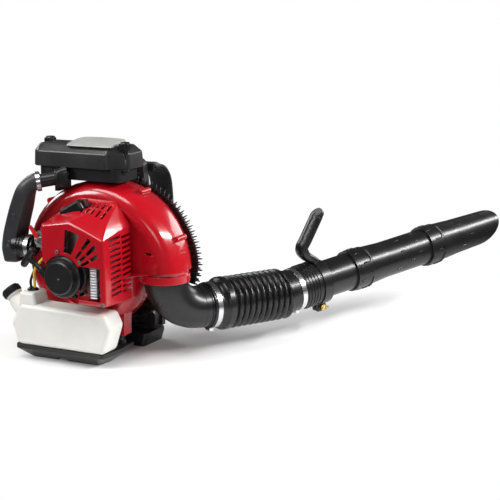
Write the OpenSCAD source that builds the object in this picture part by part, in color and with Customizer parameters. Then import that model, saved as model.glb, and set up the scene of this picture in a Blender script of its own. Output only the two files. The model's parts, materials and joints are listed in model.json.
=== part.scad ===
// Backpack leaf blower: two-stroke fan unit on a carrying frame with a flexible blower tube.
// Frame: +Z up, +Y towards the wearer's back, +X to the wearer's right, origin on the floor
// at the middle of the base's underside. Millimetres.

/* [Fan] */
// Sideways place of the crankshaft and fan axis
fan_x = 26; // [20:1:32]
// Height of the crankshaft and fan axis
fan_z = 209; // [206:1:212]
// Radius of the impeller
impeller_r = 104; // [90:1:106]
// Number of impeller blades
blade_count = 12; // [8:1:16]
// Thickness of one impeller blade
blade_t = 3; // [2:0.5:4]
// Radius of the impeller's air inlet eye
eye_r = 62; // [56:1:66]
// Radius of the crankshaft in its bearings
shaft_r = 8.5; // [7.5:0.5:10]

/* [Fan case] */
// Radius of the scroll's outer wall where it meets the outlet
scroll_r = 213; // [210:1:216]
// Radius that the scroll loses for each degree back from the outlet
scroll_step = 0.24; // [0.22:0.01:0.26]
// Half of the scroll's width along the shaft
scroll_h = 65; // [62:1:68]
// Wall of the fan case
case_wall = 3; // [2.5:0.5:4]
// Place along the shaft of the seam between the two case halves
seam_y = -45; // [-46:1:-44]
// Radius of the air inlet in the front half
inlet_r = 76; // [70:1:80]
// Bore radius of the round outlet
outlet_r = 50; // [46:1:52]
// Height of the outlet collar
collar_h = 18; // [14:1:20]
// Thickness of the outlet collar's wall around the duct
collar_t = 7; // [5:0.5:8]
// Radius of a seam screw boss
boss_r = 6.5; // [5.5:0.5:8]

/* [Engine] */
// Radius of the crankcase
crankcase_r = 45; // [44:1:47]
// Radius of the crank discs
crank_disc_r = 31; // [28:1:33]
// Half of the piston stroke
crank_throw = 16; // [14:0.5:17]
// Bore radius of the cylinder
bore_r = 24; // [22:0.5:25]
// Wall of the cylinder barrel
barrel_wall = 6; // [5:0.5:8]
// Half width of a cooling fin along X
fin_half_w = 42; // [38:1:42]
// Number of cooling fins
fin_count = 9; // [6:1:11]
// Thickness of a cooling fin
fin_t = 2.4; // [1.8:0.2:3]
// Radius of the flywheel
flywheel_r = 46; // [42:1:47]

/* [Engine cover] */
// Wall of the engine cover
cover_wall = 2.6; // [2:0.2:3.4]
// Rows of slots in the side of the cover
grille_rows = 11; // [8:1:12]
// Height of one side slot
grille_slot = 5.6; // [4:0.2:6.4]

/* [Recoil starter] */
// Radius of the starter case
starter_r = 46; // [44:1:47]
// Radius of the raised round lid on the starter case
starter_lid_r = 36.5; // [32:0.5:38]
// Radius of the rope drum
reel_r = 26; // [22:1:28]
// Length of the pull grip
grip_len = 50; // [44:1:56]

/* [Fuel tank] */
// Height of the tank body
tank_h = 96; // [88:1:98]
// Wall of the tank
tank_wall = 3; // [2.5:0.5:4]
// Outer radius of the filler neck
neck_r = 17.5; // [16:0.5:19]
// Radius of the fuel cap
cap_r = 22.5; // [22:0.5:25]
// Height of the fuel cap
cap_h = 17; // [14:1:20]
// Outer radius of the fuel hoses
fuel_hose_r = 3; // [2.5:0.5:3.5]

/* [Carrying frame] */
// Height of the base deck that the tank and the rubber mounts stand on
deck_z = 34; // [30:1:36]
// Height of the back plate's top edge
plate_top = 436; // [430:1:444]
// Thickness of the back plate
plate_t = 22; // [18:1:24]
// Radius of a rubber mount
mount_r = 11; // [9:0.5:13]

/* [Harness] */
// Crown of the back pad above its edge
pad_crown = 24; // [16:1:28]
// Width of a shoulder strap
strap_w = 58; // [48:1:60]
// Thickness of a shoulder strap
strap_t = 12; // [8:1:14]
// Width of the strap webbing
web_w = 26; // [20:1:30]

/* [Air cleaner] */
// Height of the air cleaner cover
air_cover_h = 50; // [44:1:52]
// Wall of the air cleaner cover
air_wall = 2.6; // [2:0.2:3.4]
// Radius of a cover knob
knob_r = 13.5; // [12:0.5:15]
// Height of a cover knob
knob_h = 17; // [14:1:18]

/* [Elbow and hose] */
// Bend radius of the elbow
elbow_bend = 85; // [80:1:88]
// Length of the straight end of the elbow
elbow_tail = 41; // [40:1:46]
// Wall of the elbow
elbow_wall = 3; // [2.5:0.5:4]
// Heading of the hose, turned from +Y towards +X
hose_az = 32; // [31:1:33]
// Slope of the blower tube above level
tube_slope = 8.3; // [7.5:0.1:9]
// Number of bellows ribs
rib_count = 10; // [8:1:11]
// Outer radius of the bellows ribs
rib_r = 61; // [58:1:63]
// Depth of the grooves between the ribs
rib_depth = 8; // [6:1:9]
// Length of the ribbed part of the hose
bellows_len = 157; // [152:1:160]
// Wall of the hose
hose_wall = 2.4; // [2:0.2:3]

/* [Blower tube] */
// Outer radius of the blower tube
tube_r = 45; // [43:0.5:46]
// Wall of the blower tube
tube_wall = 2; // [1.6:0.2:2.6]
// Wall of the sockets that join the tube sections
socket_wall = 5.2; // [4.4:0.2:6]
// Length of the straight part of a socket
socket_len = 62; // [54:1:68]
// Outer radius of the nozzle's mouth
mouth_r = 41.5; // [40:0.5:44]
// Slant of the cut across the nozzle's mouth
mouth_slant = 45; // [38:1:50]
// Length of the swivel pipe beyond the hose
pipe1_len = 252; // [248:1:260]
// Length of the middle pipe between socket faces
pipe2_len = 233; // [226:1:236]
// Length of the nozzle
nozzle_len = 242; // [236:1:250]

/* [Tube handle] */
// Width of the handle's clamp ring along the tube
ring_w = 24; // [20:1:28]
// Length of the straight part of the handle
horn_len = 88; // [80:1:96]
// Lean of the handle towards the nozzle
horn_lean = 38; // [32:1:44]
// Width of the handle bar
horn_w = 29; // [26:1:32]

/* [Throttle arm] */
// Length of the throttle arm
arm_len = 190; // [170:5:210]
// Outer radius of the throttle arm tube
arm_r = 9; // [8:0.5:10]
// Radius of the arm's pivot pin
pivot_r = 5; // [4:0.5:6]

/* [Fits] */
// Gap between pieces that don't touch
gap = 0.3; // [0.2:0.05:0.4]
// Radial clearance of a running shaft
run_fit = 0.05; // [0.03:0.01:0.08]

/* [Hidden] */
$fn = 48;
hull_fn = 16;

// Fan case
case_steps = 48;
scroll_end = 270;
rear_floor_y = seam_y - scroll_h + 15;
front_face_y = seam_y + scroll_h;
outlet_x = fan_x + scroll_r - outlet_r - case_wall;
outlet_y = seam_y;
collar_top = fan_z - 8;
collar_bottom = collar_top - collar_h;

// Elbow, hose and tube line
elbow_top = collar_bottom + 12;
hose_z = elbow_top - elbow_bend;
elbow_r = outlet_r - gap - 1;
bellows_start = 45;
kink = bellows_start + bellows_len;
clamp1_s = elbow_bend + elbow_tail - 11;

function along(az, el) = [cos(el) * sin(az), cos(el) * cos(az), sin(el)];
hose_dir = along(hose_az, 0);
tube_dir = along(hose_az, tube_slope);
hose_p = [outlet_x, outlet_y, hose_z] + clamp1_s * hose_dir;
tube_p = hose_p + kink * hose_dir;

// Cover, engine and starter stations along the shaft
cover_back = -212;
starter_face = -228;
reel_back = -208;
flywheel_back = -190;
case_back = -170;
case_front = rear_floor_y - 15;
cyl_y = (case_back + case_front) / 2;

// ---------- Helpers ----------

// Solid between closed loops of equal length; each end is closed by a fan about its middle.
module skin(loops) {
  n = len(loops[0]);
  m = len(loops);
  points = concat([for (loop = loops) each loop], [middle(loops[0]), middle(loops[m - 1])]);
  sides = [for (i = [0 : m - 2]) for (j = [0 : n - 1])
    let (k = (j + 1) % n, a = i * n, b = a + n)
    each [[a + j, b + k, a + k], [a + j, b + j, b + k]]];
  ends = [for (j = [0 : n - 1])
    let (k = (j + 1) % n, b = (m - 1) * n)
    each [[j, k, m * n], [b + k, b + j, m * n + 1]]];
  polyhedron(points, concat(sides, ends));
}
function middle(p) = [for (q = p) 1] * p / len(p);

// Extrudes a flat (x, z) outline from y0 to y1.
module slab_y(y0, y1) {
  translate([0, y1, 0])
    rotate([90, 0, 0])
      linear_extrude(y1 - y0)
        children();
}

// Extrudes a flat (y, z) outline from x0 to x1.
module slab_x(x0, x1) {
  translate([x0, 0, 0])
    rotate([90, 0, 90])
      linear_extrude(x1 - x0)
        children();
}

// Cylinder along Y from y0 to y1 at (x, z).
module rod_y(x, z, y0, y1, r) {
  translate([x, y0, z])
    rotate([-90, 0, 0])
      cylinder(h = y1 - y0, r = r);
}

// Cylinder along X from x0 to x1 at (y, z).
module rod_x(x0, x1, y, z, r) {
  translate([x0, y, z])
    rotate([0, 90, 0])
      cylinder(h = x1 - x0, r = r);
}

// Upright cylinder.
module rod_z(x, y, z0, z1, r) {
  translate([x, y, z0])
    cylinder(h = z1 - z0, r = r);
}

// Revolved (r, y) profile about the fan axis.
module turn_y(profile, x = fan_x, z = fan_z) {
  translate([x, 0, z])
    rotate([-90, 0, 0])
      rotate_extrude()
        polygon(profile);
}

// Places children with +Z along the level hose, s from the first hose clamp.
module on_hose(s) {
  translate(hose_p + s * hose_dir)
    rotate([-90, 0, -hose_az])
      children();
}

// Places children with +Z along the blower tube, t from the end of the bellows.
// Local -Y points up.
module on_tube(t) {
  translate(tube_p + t * tube_dir)
    rotate([tube_slope - 90, 0, -hose_az])
      children();
}

// Box with round upright edges.
module soft_box(lo, hi, r) {
  hull()
    for (x = [lo.x + r, hi.x - r])
      for (y = [lo.y + r, hi.y - r])
        translate([x, y, lo.z])
          cylinder(h = hi.z - lo.z, r = r, $fn = hull_fn);
}

// Hull of balls that lie inside the given outer corners; w draws every face in.
module ball_hull(corners, mid, r, w = 0) {
  hull()
    for (c = corners)
      translate([c.x + (c.x > mid.x ? -r : r), c.y + (c.y > mid.y ? -r : r),
        c.z + (c.z > mid.z ? -r : r)])
        sphere(r = r - w, $fn = hull_fn);
}

function unit(v) = v / norm(v);

// Point on a smooth curve through the points p; u runs from 0 to len(p) - 1.
function on_curve(p, u) =
  let (n = len(p) - 1, i = min(floor(u), n - 1), f = u - i,
    a = p[max(i - 1, 0)], b = p[i], c = p[i + 1], d = p[min(i + 2, n)])
  0.5 * (2 * b + (c - a) * f + (2 * a - 5 * b + 4 * c - d) * f * f
    + (3 * b - a - 3 * c + d) * f * f * f);

// Loops of a tube along a curve; side fixes the section's first axis, h and v its half sizes.
function sweep_loops(p, steps, sides, side, h, v, round = 2) =
  let (n = len(p) - 1)
  [for (k = [0 : steps])
    let (u = n * k / steps, c = on_curve(p, u),
      t = unit(on_curve(p, min(u + 0.05, n)) - on_curve(p, max(u - 0.05, 0))),
      e1 = unit(side - (side * t) * t), e2 = cross(t, e1))
    [for (j = [0 : sides - 1])
      let (a = 360 * j / sides, ca = cos(a), sa = sin(a),
        m = pow(pow(abs(ca), round) + pow(abs(sa), round), -1 / round))
      c + e1 * h * m * ca + e2 * v * m * sa]];

// ---------- Fan case ----------

// Smooth step from 0 to 1.
function ease(t) = let (c = min(max(t, 0), 1)) c * c * (3 - 2 * c);

// Scroll wall radius at an angle from the outlet, anticlockwise seen from behind.
// Past scroll_end it draws in to the tongue beside the outlet.
function scroll(a) = max(impeller_r + 8 + case_wall,
  scroll_r - scroll_step * min(a, scroll_end) - 0.47 * max(0, a - scroll_end));

// Half width of the scroll, drawn in towards the outlet.
function half_h(a) = scroll_h - 9 * (1 - ease(a / 60));

// One loop of the scroll: d is the step in from the wall, y is a place along the shaft
// as a share of the half width, fixed is a flat place when given.
function scroll_loop(d, share, wall, fixed) = [for (i = [0 : case_steps - 1])
  let (a = (360 - i * 360 / case_steps) % 360, r = scroll(a) - d)
  [fan_x + r * cos(a), is_undef(fixed) ? seam_y + share * (half_h(a) - wall) : fixed,
  fan_z + r * sin(a)]];

// Rear half of the scroll as a solid; inset by w it is the cavity.
module scroll_rear(w) {
  skin([
    scroll_loop(54, 0, w, rear_floor_y + w),
    scroll_loop(44 + 0.4 * w, -0.93, w),
    scroll_loop(31, -1, w),
    scroll_loop(17 + 0.4 * w, -0.93, w),
    scroll_loop(6 + 0.8 * w, -0.74, w),
    scroll_loop(w, -0.42, w),
    scroll_loop(w, 0, w, seam_y + (w > 0 ? 1 : 0))]);
}

// Front half of the scroll as a solid; inset by w it is the cavity.
module scroll_front(w) {
  skin([
    scroll_loop(w, 0, w, seam_y - (w > 0 ? 1 : 0)),
    scroll_loop(w, 0.42, w),
    scroll_loop(6 + 0.8 * w, 0.74, w),
    scroll_loop(17 + 0.4 * w, 0.93, w),
    scroll_loop(31, 1, w),
    scroll_loop(60, 0, w, front_face_y - w)]);
}

// Cross section of the outlet duct at height z: a rounded square that becomes a circle.
function duct_loop(z, half_x, half_y, square, w) = [for (i = [0 : 23])
  let (a = i * 15, c = cos(a), s = sin(a),
    k = pow(pow(abs(c), square) + pow(abs(s), square), -1 / square))
  [outlet_x + (half_x - w) * k * c, outlet_y + (half_y - w) * k * s, z]];

module outlet_duct(w) {
  r = outlet_r + case_wall;
  skin([
    duct_loop(collar_bottom - (w > 0 ? 1 : 0), r, r, 2, w),
    duct_loop(collar_top - 2, r, r, 2, w),
    duct_loop(fan_z + 6, r, r + 1.5, 2.3, w),
    duct_loop(fan_z + 22, r - 1, r + 3, 2.6, w),
    duct_loop(fan_z + 40 + (w > 0 ? 4 : 0), r - 6, r + 2, 2.6, w)]);
}

module outlet_collar() {
  translate([outlet_x, outlet_y, collar_bottom])
    cylinder(h = collar_h, r = outlet_r + collar_t);
}

// Angles of the seam screws round the scroll.
seam_screws = [20, 57, 95, 133, 171, 209, 247, 285];
seam_out = 5;
function seam_at(a) = [fan_x, fan_z] + (scroll(a) + seam_out) * [cos(a), sin(a)];
screw_r = 2.5;
boss_half = 20;

module seam_bosses(y0, y1) {
  for (a = seam_screws)
    rod_y(seam_at(a).x, seam_at(a).y, y0, y1, boss_r);
}

module seam_holes(y0, y1) {
  for (a = seam_screws)
    rod_y(seam_at(a).x, seam_at(a).y, y0, y1, screw_r + gap);
}

// Feet that stand on the rear rubber mounts: [x, y].
rear_mounts = [[-52, -76], [88, -76]];
mount_h = 22;
foot_z = deck_z + mount_h;
foot_t = 6;

module case_feet() {
  for (m = rear_mounts)
    hull() {
      translate([m.x - 18, m.y - 16, foot_z])
        cube([36, 32, foot_t]);
      translate([m.x + (m.x > 0 ? 4 : -8), m.y - 8, foot_z + 55])
        cube([10, 34, 6]);
    }
}

module fan_case_rear() {
  color("firebrick")
  difference() {
    union() {
      scroll_rear(0);
      half_duct(-1);
      seam_bosses(seam_y - boss_half, seam_y);
      case_feet();
    }
    scroll_rear(case_wall);
    outlet_duct(case_wall);
    seam_holes(seam_y - boss_half + 4, seam_y + 1);
    rod_y(fan_x, fan_z, rear_floor_y - 20, rear_floor_y + 20, hub_hole_r);
  }
}
hub_hole_r = 24;

// One side of the outlet duct and its collar, split at the seam.
module half_duct(side) {
  intersection() {
    union() {
      outlet_duct(0);
      outlet_collar();
    }
    translate([outlet_x - 100, side < 0 ? seam_y - 100 : seam_y, collar_bottom - 5])
      cube([200, 100, 200]);
  }
}

// Front mounts between the case and the back plate: [angle, radius] about the fan axis.
front_mounts = [[66, 112], [126, 112]];
plate_y = front_face_y + 40;
front_boss = 8;

module fan_case_front() {
  color("firebrick")
  difference() {
    union() {
      scroll_front(0);
      half_duct(1);
      seam_bosses(seam_y, seam_y + boss_half);
      turn_y([[inlet_r - 1, front_face_y - 2], [inlet_r + 9, front_face_y - 2],
        [inlet_r + 9, front_face_y + 4], [inlet_r + 5, front_face_y + 7],
        [inlet_r - 1, front_face_y + 4]]);
      for (m = front_mounts)
        rod_y(fan_x + m[1] * cos(m[0]), fan_z + m[1] * sin(m[0]),
          front_face_y - 2, front_face_y + front_boss, mount_r);
    }
    scroll_front(case_wall);
    outlet_duct(case_wall);
    seam_holes(seam_y - 1, seam_y + boss_half + 1);
    rod_y(fan_x, fan_z, front_face_y - 20, front_face_y + 20, inlet_r);
  }
}

// Screws through the seam bosses, and those that hold the engine cover.
module screws() {
  color("dimgray") {
    for (a = seam_screws)
      union() {
        rod_y(seam_at(a).x, seam_at(a).y, seam_y - 12, seam_y + boss_half + 0.5, screw_r);
        rod_y(seam_at(a).x, seam_at(a).y, seam_y + boss_half, seam_y + boss_half + 4,
          4.5);
      }
    for (p = cover_screws)
      rod_y(p.x, p.y, cover_back - 2.5, cover_back - gap, 4.5);
  }
}

// ---------- Rotor ----------

fan_back = rear_floor_y + case_wall + 4;
fan_front = front_face_y - case_wall - 6;
fan_hub_r = 20;

module impeller() {
  color("silver")
  difference() {
    union() {
      turn_y([[0, fan_back - 1], [fan_hub_r, fan_back - 1], [impeller_r, fan_back],
        [impeller_r, fan_back + 3], [46, fan_back + 4], [26, fan_back + 22],
        [fan_hub_r, fan_back + 34], [0, fan_back + 34]]);
      for (i = [0 : blade_count - 1])
        translate([fan_x, 0, fan_z])
          rotate([0, i * 360 / blade_count, 0])
            impeller_blade();
    }
    rod_y(fan_x, fan_z, fan_back - 5, fan_back + 40, shaft_r + gap);
  }
}

// Backward-curved blade from the eye to the rim, cut lower towards the inlet.
blade_in = 43;
blade_sweep = 40;
function blade_mid(u) =
  let (r = blade_in + (impeller_r - 0.5 - blade_in) * u, a = -blade_sweep * pow(u, 1.15))
  [r * cos(a), r * sin(a)];
function blade_side(u, d) =
  let (t = unit(blade_mid(u + 0.01) - blade_mid(max(u - 0.01, 0))))
  blade_mid(u) + d * [-t.y, t.x];

module impeller_blade() {
  difference() {
    slab_y(fan_back + 2, fan_front)
      polygon(concat([for (k = [0 : 7]) blade_side(k / 7, -blade_t / 2)],
        [for (k = [7 : -1 : 0]) blade_side(k / 7, blade_t / 2)]));
    rotate([-90, 0, 0])
      rotate_extrude()
        polygon([[blade_in - 6, fan_front + 1], [blade_in - 6, fan_back + 36],
          [eye_r, fan_front - 2], [impeller_r + 20, fan_front - 14],
          [impeller_r + 20, fan_front + 1]]);
  }
}

shaft_front = fan_back + 46;

module crankshaft() {
  color("lightsteelblue")
  union() {
    rod_y(fan_x, fan_z, flywheel_back - 6, disc_a0, shaft_r);
    rod_y(fan_x, fan_z, disc_a0, disc_a1, crank_disc_r);
    rod_y(fan_x, fan_z, disc_b0, disc_b1, crank_disc_r);
    rod_y(fan_x, fan_z, disc_b1, shaft_front, shaft_r);
    rod_y(fan_x, fan_z, shaft_front - 12, shaft_front - 2, shaft_r + 5);
  }
}
disc_t = 9;
disc_gap = 15;
disc_a1 = cyl_y - disc_gap / 2;
disc_a0 = disc_a1 - disc_t;
disc_b0 = cyl_y + disc_gap / 2;
disc_b1 = disc_b0 + disc_t;

flywheel_t = 15;

module flywheel() {
  color("gray")
  difference() {
    union() {
      rod_y(fan_x, fan_z, flywheel_back, flywheel_back + flywheel_t, flywheel_r);
      for (i = [0 : 9])
        translate([fan_x, 0, fan_z])
          rotate([0, i * 36, 0])
            translate([24, flywheel_back - 4, -1.5])
              cube([17, 5, 3]);
    }
    rod_y(fan_x, fan_z, flywheel_back - 9, flywheel_back + flywheel_t + 9, shaft_r + gap);
  }
}

guard_r = 150;

// Inlet guard: two hoops joined by bars, each bar ends in a short outward tooth.
module inlet_guard() {
  color("#202020")
  union() {
    turn_y([[guard_r - 4, front_face_y + gap], [guard_r, front_face_y + gap],
      [guard_r, front_face_y + 4], [guard_r - 4, front_face_y + 4]]);
    turn_y([[guard_r - 4, plate_y - 8], [guard_r, plate_y - 8],
      [guard_r, plate_y - gap], [guard_r - 4, plate_y - gap]]);
    for (i = [0 : 35])
      translate([fan_x, 0, fan_z])
        rotate([0, i * 10, 0])
          translate([0, 0, -1.2])
            linear_extrude(2.4)
              polygon([[guard_r - 3, front_face_y + 2],
                [guard_r - 0.5, front_face_y + 2],
                [guard_r - 0.5, plate_y - 16], [guard_r + 8, plate_y - 12],
                [guard_r + 8, plate_y - 9], [guard_r - 0.5, plate_y - 5],
                [guard_r - 3, plate_y - 5]]);
  }
}

// ---------- Engine ----------

module crankcase() {
  color("darkgray")
  difference() {
    union() {
      rod_y(fan_x, fan_z, case_back, case_front, crankcase_r);
      translate([fan_x - 34, case_back, fan_z])
        cube([68, case_front - case_back, deck_top - fan_z]);
      for (a = [45, 135, 225, 315])
        rod_y(fan_x + (crankcase_r + 4) * cos(a), fan_z + (crankcase_r + 4) * sin(a),
          case_front - 14, case_front, 7);
      for (a = post_angles)
        translate([fan_x, case_back, fan_z])
          rotate([0, -a, 0]) {
            translate([crankcase_r - 6, 1, -4])
              cube([post_at - crankcase_r + 6, 12, 8]);
            translate([post_at, 0, 0])
              rotate([-90, 0, 0])
                cylinder(h = 14, r = 5);
          }
      rod_y(fan_x, fan_z, case_front - 2, rear_floor_y - gap, hub_hole_r + 14);
    }
    rod_y(fan_x, fan_z, case_back - 1, rear_floor_y + 1, shaft_r + run_fit);
    rod_y(fan_x, fan_z, disc_a0 - 1, disc_b1 + 1, crank_disc_r + 2);
    rod_z(fan_x, cyl_y, fan_z, deck_top + 1, bore_r);
  }
}
deck_top = fan_z + crankcase_r + 1;
post_angles = [45, 180, 300];
post_at = starter_r + 4.5;

// Finned cylinder: barrel, square fins with a round bore, and a domed head.
cyl_top = deck_top + 70;
fin_pitch = (cyl_top - deck_top - 24) / (fin_count - 1);

module cylinder_fins() {
  for (i = [0 : fin_count - 1])
    translate([fan_x - fin_half_w, cyl_y - fin_half_d, deck_top + 10 + i * fin_pitch])
      cube([2 * fin_half_w, 2 * fin_half_d, fin_t]);
}
fin_half_d = 25;

module engine_cylinder() {
  color("silver")
  difference() {
    union() {
      translate([fan_x - 30, cyl_y - 25, deck_top])
        cube([60, 50, 6]);
      rod_z(fan_x, cyl_y, deck_top, cyl_top - 4, bore_r + barrel_wall);
      cylinder_fins();
      rod_z(fan_x, cyl_y, cyl_top - 8, cyl_top, 18);
      rod_x(fan_x - port_len, fan_x, cyl_y, intake_z, 17);
      rod_x(fan_x, fan_x + port_len, cyl_y, exhaust_z, 15);
    }
    rod_z(fan_x, cyl_y, deck_top - 1, cyl_top - 14, bore_r);
    rod_z(fan_x, cyl_y, cyl_top - 15, cyl_top + 1, 6);
    rod_x(fan_x - port_len - 1, fan_x - bore_r + 2, cyl_y, intake_z, 11);
    rod_x(fan_x + bore_r - 2, fan_x + port_len + 1, cyl_y, exhaust_z, 9);
  }
}
port_len = 46;
intake_z = deck_top + 18;
exhaust_z = deck_top + 18;

piston_top = deck_top + 44;
piston_h = 30;
pin_r = 6;

module piston() {
  color("gainsboro")
  difference() {
    rod_z(fan_x, cyl_y, piston_top - piston_h, piston_top, bore_r - run_fit);
    rod_z(fan_x, cyl_y, piston_top - piston_h - 1, piston_top - 7, bore_r - 4);
    for (k = [0 : 1])
      translate([fan_x, cyl_y, piston_top - 4 - 4 * k])
        rotate_extrude()
          translate([bore_r - 1.2, 0])
            square([2, 1.2]);
  }
}

// Rod from the crank pin to the piston pin, with both pins.
module connecting_rod() {
  big_z = fan_z + crank_throw;
  small_z = piston_top - 20;
  color("slategray")
  union() {
    rod_y(fan_x, big_z, disc_a1 + gap, disc_b0 - gap, 8);
    rod_y(fan_x, big_z, cyl_y - 5, cyl_y + 5, 12.5);
    rod_y(fan_x, small_z, cyl_y - 5, cyl_y + 5, 9);
    rod_y(fan_x, small_z, cyl_y - bore_r + 5.5, cyl_y + bore_r - 5.5, pin_r);
    translate([fan_x - 5, cyl_y - 3, big_z + 8])
      cube([10, 6, small_z - big_z - 12]);
  }
}

plug_seat = cyl_top;

module spark_plug() {
  color("white")
  translate([fan_x, cyl_y, 0])
    rotate_extrude()
      polygon([[0, plug_seat - 12], [5.7, plug_seat - 12], [5.7, plug_seat + gap],
        [9, plug_seat + gap], [9, plug_seat + 6], [5.5, plug_seat + 7],
        [5.5, plug_seat + 20], [0, plug_seat + 20]]);
}

boot_tilt = 24;

module plug_boot() {
  color("#1c1c1c")
  difference() {
    translate([fan_x, cyl_y, plug_seat + 8])
      union() {
        cylinder(h = 14, r = 9);
        translate([0, 0, 14])
          rotate([0, -boot_tilt, 0])
            translate([-26, -9, -1])
              cube([52, 18, 15]);
      }
    rod_z(fan_x, cyl_y, plug_seat, plug_seat + 20 + gap, 5.5 + gap);
  }
}

module ignition_coil() {
  color("#262626")
  union() {
    translate([fan_x + 32, flywheel_back + 2, fan_z + flywheel_r + gap])
      cube([12, case_back - gap - flywheel_back - 2, 8]);
    translate([fan_x + 30, flywheel_back - 2, fan_z + flywheel_r + 8])
      cube([26, 20, 18]);
  }
}

muffler_lo = [fan_x + 58, cyl_y - 54, fan_z - 42];
muffler_hi = [fan_x + 98, cyl_y + 22, fan_z + 82];

module muffler() {
  color("#4a4038")
  union() {
    soft_box(muffler_lo, [muffler_hi.x, muffler_hi.y, muffler_hi.z], 9);
    rod_x(fan_x + port_len + gap, muffler_lo.x + 6, cyl_y, exhaust_z, 14);
    rod_y(muffler_lo.x + 7, muffler_lo.z + 20, muffler_lo.y - 8, muffler_lo.y + 4, 7);
  }
}

// Perforated heat guard that wraps the muffler's rear and right faces.
module muffler_guard() {
  t = 1.2;
  y = muffler_lo.y - 2.6;
  x = muffler_hi.x + 1.6;
  color("silver")
  difference() {
    union() {
      translate([x - 26, y - t, muffler_lo.z + 4])
        cube([26 + t, t, muffler_hi.z - muffler_lo.z - 8]);
      translate([x, y - t, muffler_lo.z + 4])
        cube([t, 62, muffler_hi.z - muffler_lo.z - 8]);
      for (z = [muffler_lo.z + 12, muffler_hi.z - 18])
        translate([muffler_hi.x + gap, y + 40, z])
          cube([x + 0.5 - muffler_hi.x, 12, 10]);
    }
    for (i = [0 : 9])
      for (j = [0 : 2])
        translate([x - 22 + 7 * j, y - t - 1, muffler_lo.z + 12 + 6 * i])
          cube([4, t + 2, 3.2]);
  }
}

// ---------- Engine cover ----------

cover_ball = 7;
cover_base_y = -98;

// Corner places of the cover's outer form: [x, y, z].
cover_corners = [
  [-27, cover_back, 240], [-27, cover_back, 322], [39, cover_back, 333],
  [130, cover_back, 300], [135, cover_back, 152], [70, cover_back, 152],
  [122, -184, 326], [-27, cover_base_y, 240], [-34, cover_base_y, 340],
  [4, cover_base_y, 368], [108, cover_base_y, 366], [135, cover_base_y, 320],
  [136, cover_base_y, 144], [70, cover_base_y, 144]];

// The cover's form with every face drawn in by w.
module cover_form(w) {
  ball_hull(cover_corners, [fan_x + 30, cyl_y, fan_z + 40], cover_ball, w);
}

// Sector of a ring in the (x, z) plane about the crankshaft.
function sector(r0, r1, a0, a1) = [
  for (k = [0 : 4]) let (a = a0 + (a1 - a0) * k / 4) [fan_x + r1 * cos(a), fan_z + r1 * sin(a)],
  for (k = [4 : -1 : 0]) let (a = a0 + (a1 - a0) * k / 4)
    [fan_x + r0 * cos(a), fan_z + r0 * sin(a)]];

// Openings in the rear face: the tall window, the radial slots and the muffler window.
module cover_rear_openings() {
  slab_y(cover_back - 5, cover_back + 12) {
    polygon(sector(56, 106, 64, 84));
    for (a = [51, 41, 31]) {
      polygon(sector(58, 80, a - 2.6, a + 2.6));
      polygon(sector(84, 114 - (a < 35 ? 8 : 0), a - 2.4, a + 2.4));
    }
    translate([68, 163])
      square([54, 74]);
  }
}

// Two columns of slots in the right side face.
module cover_side_grille() {
  pitch = 132 / grille_rows;
  for (i = [0 : grille_rows - 1])
    for (y0 = [-186, -140])
      slab_x(124, 142)
        translate([y0, 170 + i * pitch])
          polygon([[0, 0], [40, 3], [40, 3 + grille_slot], [0, grille_slot]]);
}

// Five pairs of slots in the roof.
module cover_roof_slots() {
  for (i = [0 : 4])
    for (j = [0 : 1])
      translate([46 + 13 * i, -168 + 24 * j, 320])
        cube([5.5, 20, 60]);
}

// Channel in the roof that the plug boot lies in.
module boot_channel() {
  translate([fan_x, cyl_y, plug_seat + 22])
    rotate([0, -boot_tilt, 0])
      translate([-50, -15, -6])
        cube([82, 30, 60]);
}

module engine_cover() {
  color("crimson")
  difference() {
    cover_form(0);
    cover_form(cover_wall);
    translate([-60, cover_base_y - 7, 100])
      cube([260, 40, 320]);
    rod_y(fan_x, fan_z, cover_back - 5, -100, starter_r + 2);
    translate([-60, cover_back - 5, 100])
      cube([60 + fan_x + starter_r - 6, 200, fan_z + 8 - 100]);
    translate([-50, cyl_y - 30, intake_z - 36])
      cube([40, 80, 64]);
    cover_rear_openings();
    cover_side_grille();
    cover_roof_slots();
    boot_channel();
    scroll_rear(-0.6);
  }
}

// Places of the cover's screws in its rear face: [x, z].
cover_screws = [[fan_x - 10, fan_z + starter_r + 9], [72, 246], [128, 158]];

// ---------- Recoil starter ----------

rope_tilt = -54;
rope_mouth = [fan_x - 58.5, fan_z + 9];
pull_y = -202;
reel_len = 9;
starter_front = reel_back + 11;
post_r = 6;

// Places children with +Z along the rope's pull, s from the mouth of the rope guide.
module on_rope(s) {
  translate([rope_mouth.x, pull_y, rope_mouth.y])
    rotate([0, rope_tilt, 0])
      translate([0, 0, s])
        children();
}

module starter_case() {
  color("#181818")
  union() {
    difference() {
      union() {
        turn_y([[0, starter_face + 1.5], [starter_lid_r - 3, starter_face],
          [starter_lid_r, starter_face + 3], [starter_lid_r, cover_back - 4],
          [starter_r - 3, cover_back - 3], [starter_r, cover_back + 1],
          [starter_r, starter_front], [0, starter_front]]);
        on_rope(-26)
          translate([-7, -8, 0])
            cube([14, 16, 26]);
        for (a = post_angles)
          translate([fan_x, 0, fan_z])
            rotate([0, -a, 0]) {
              translate([starter_r - 6, starter_front - 8, -4])
                cube([10.5, 6, 8]);
              translate([post_at, starter_front - 5, 0])
                rotate([-90, 0, 0])
                  cylinder(h = case_back - gap - starter_front + 5, r = 4);
            }
      }
      turn_y([[0, reel_back], [reel_r + 2, reel_back], [reel_r + 2, starter_front + 1],
        [0, starter_front + 1]]);
      on_rope(-50)
        cylinder(h = 60, r = rope_r + 0.5);
    }
    rod_y(fan_x, fan_z, reel_back - 1, reel_back + reel_len - 0.5, post_r);
  }
}
rope_r = 1.9;

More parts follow.
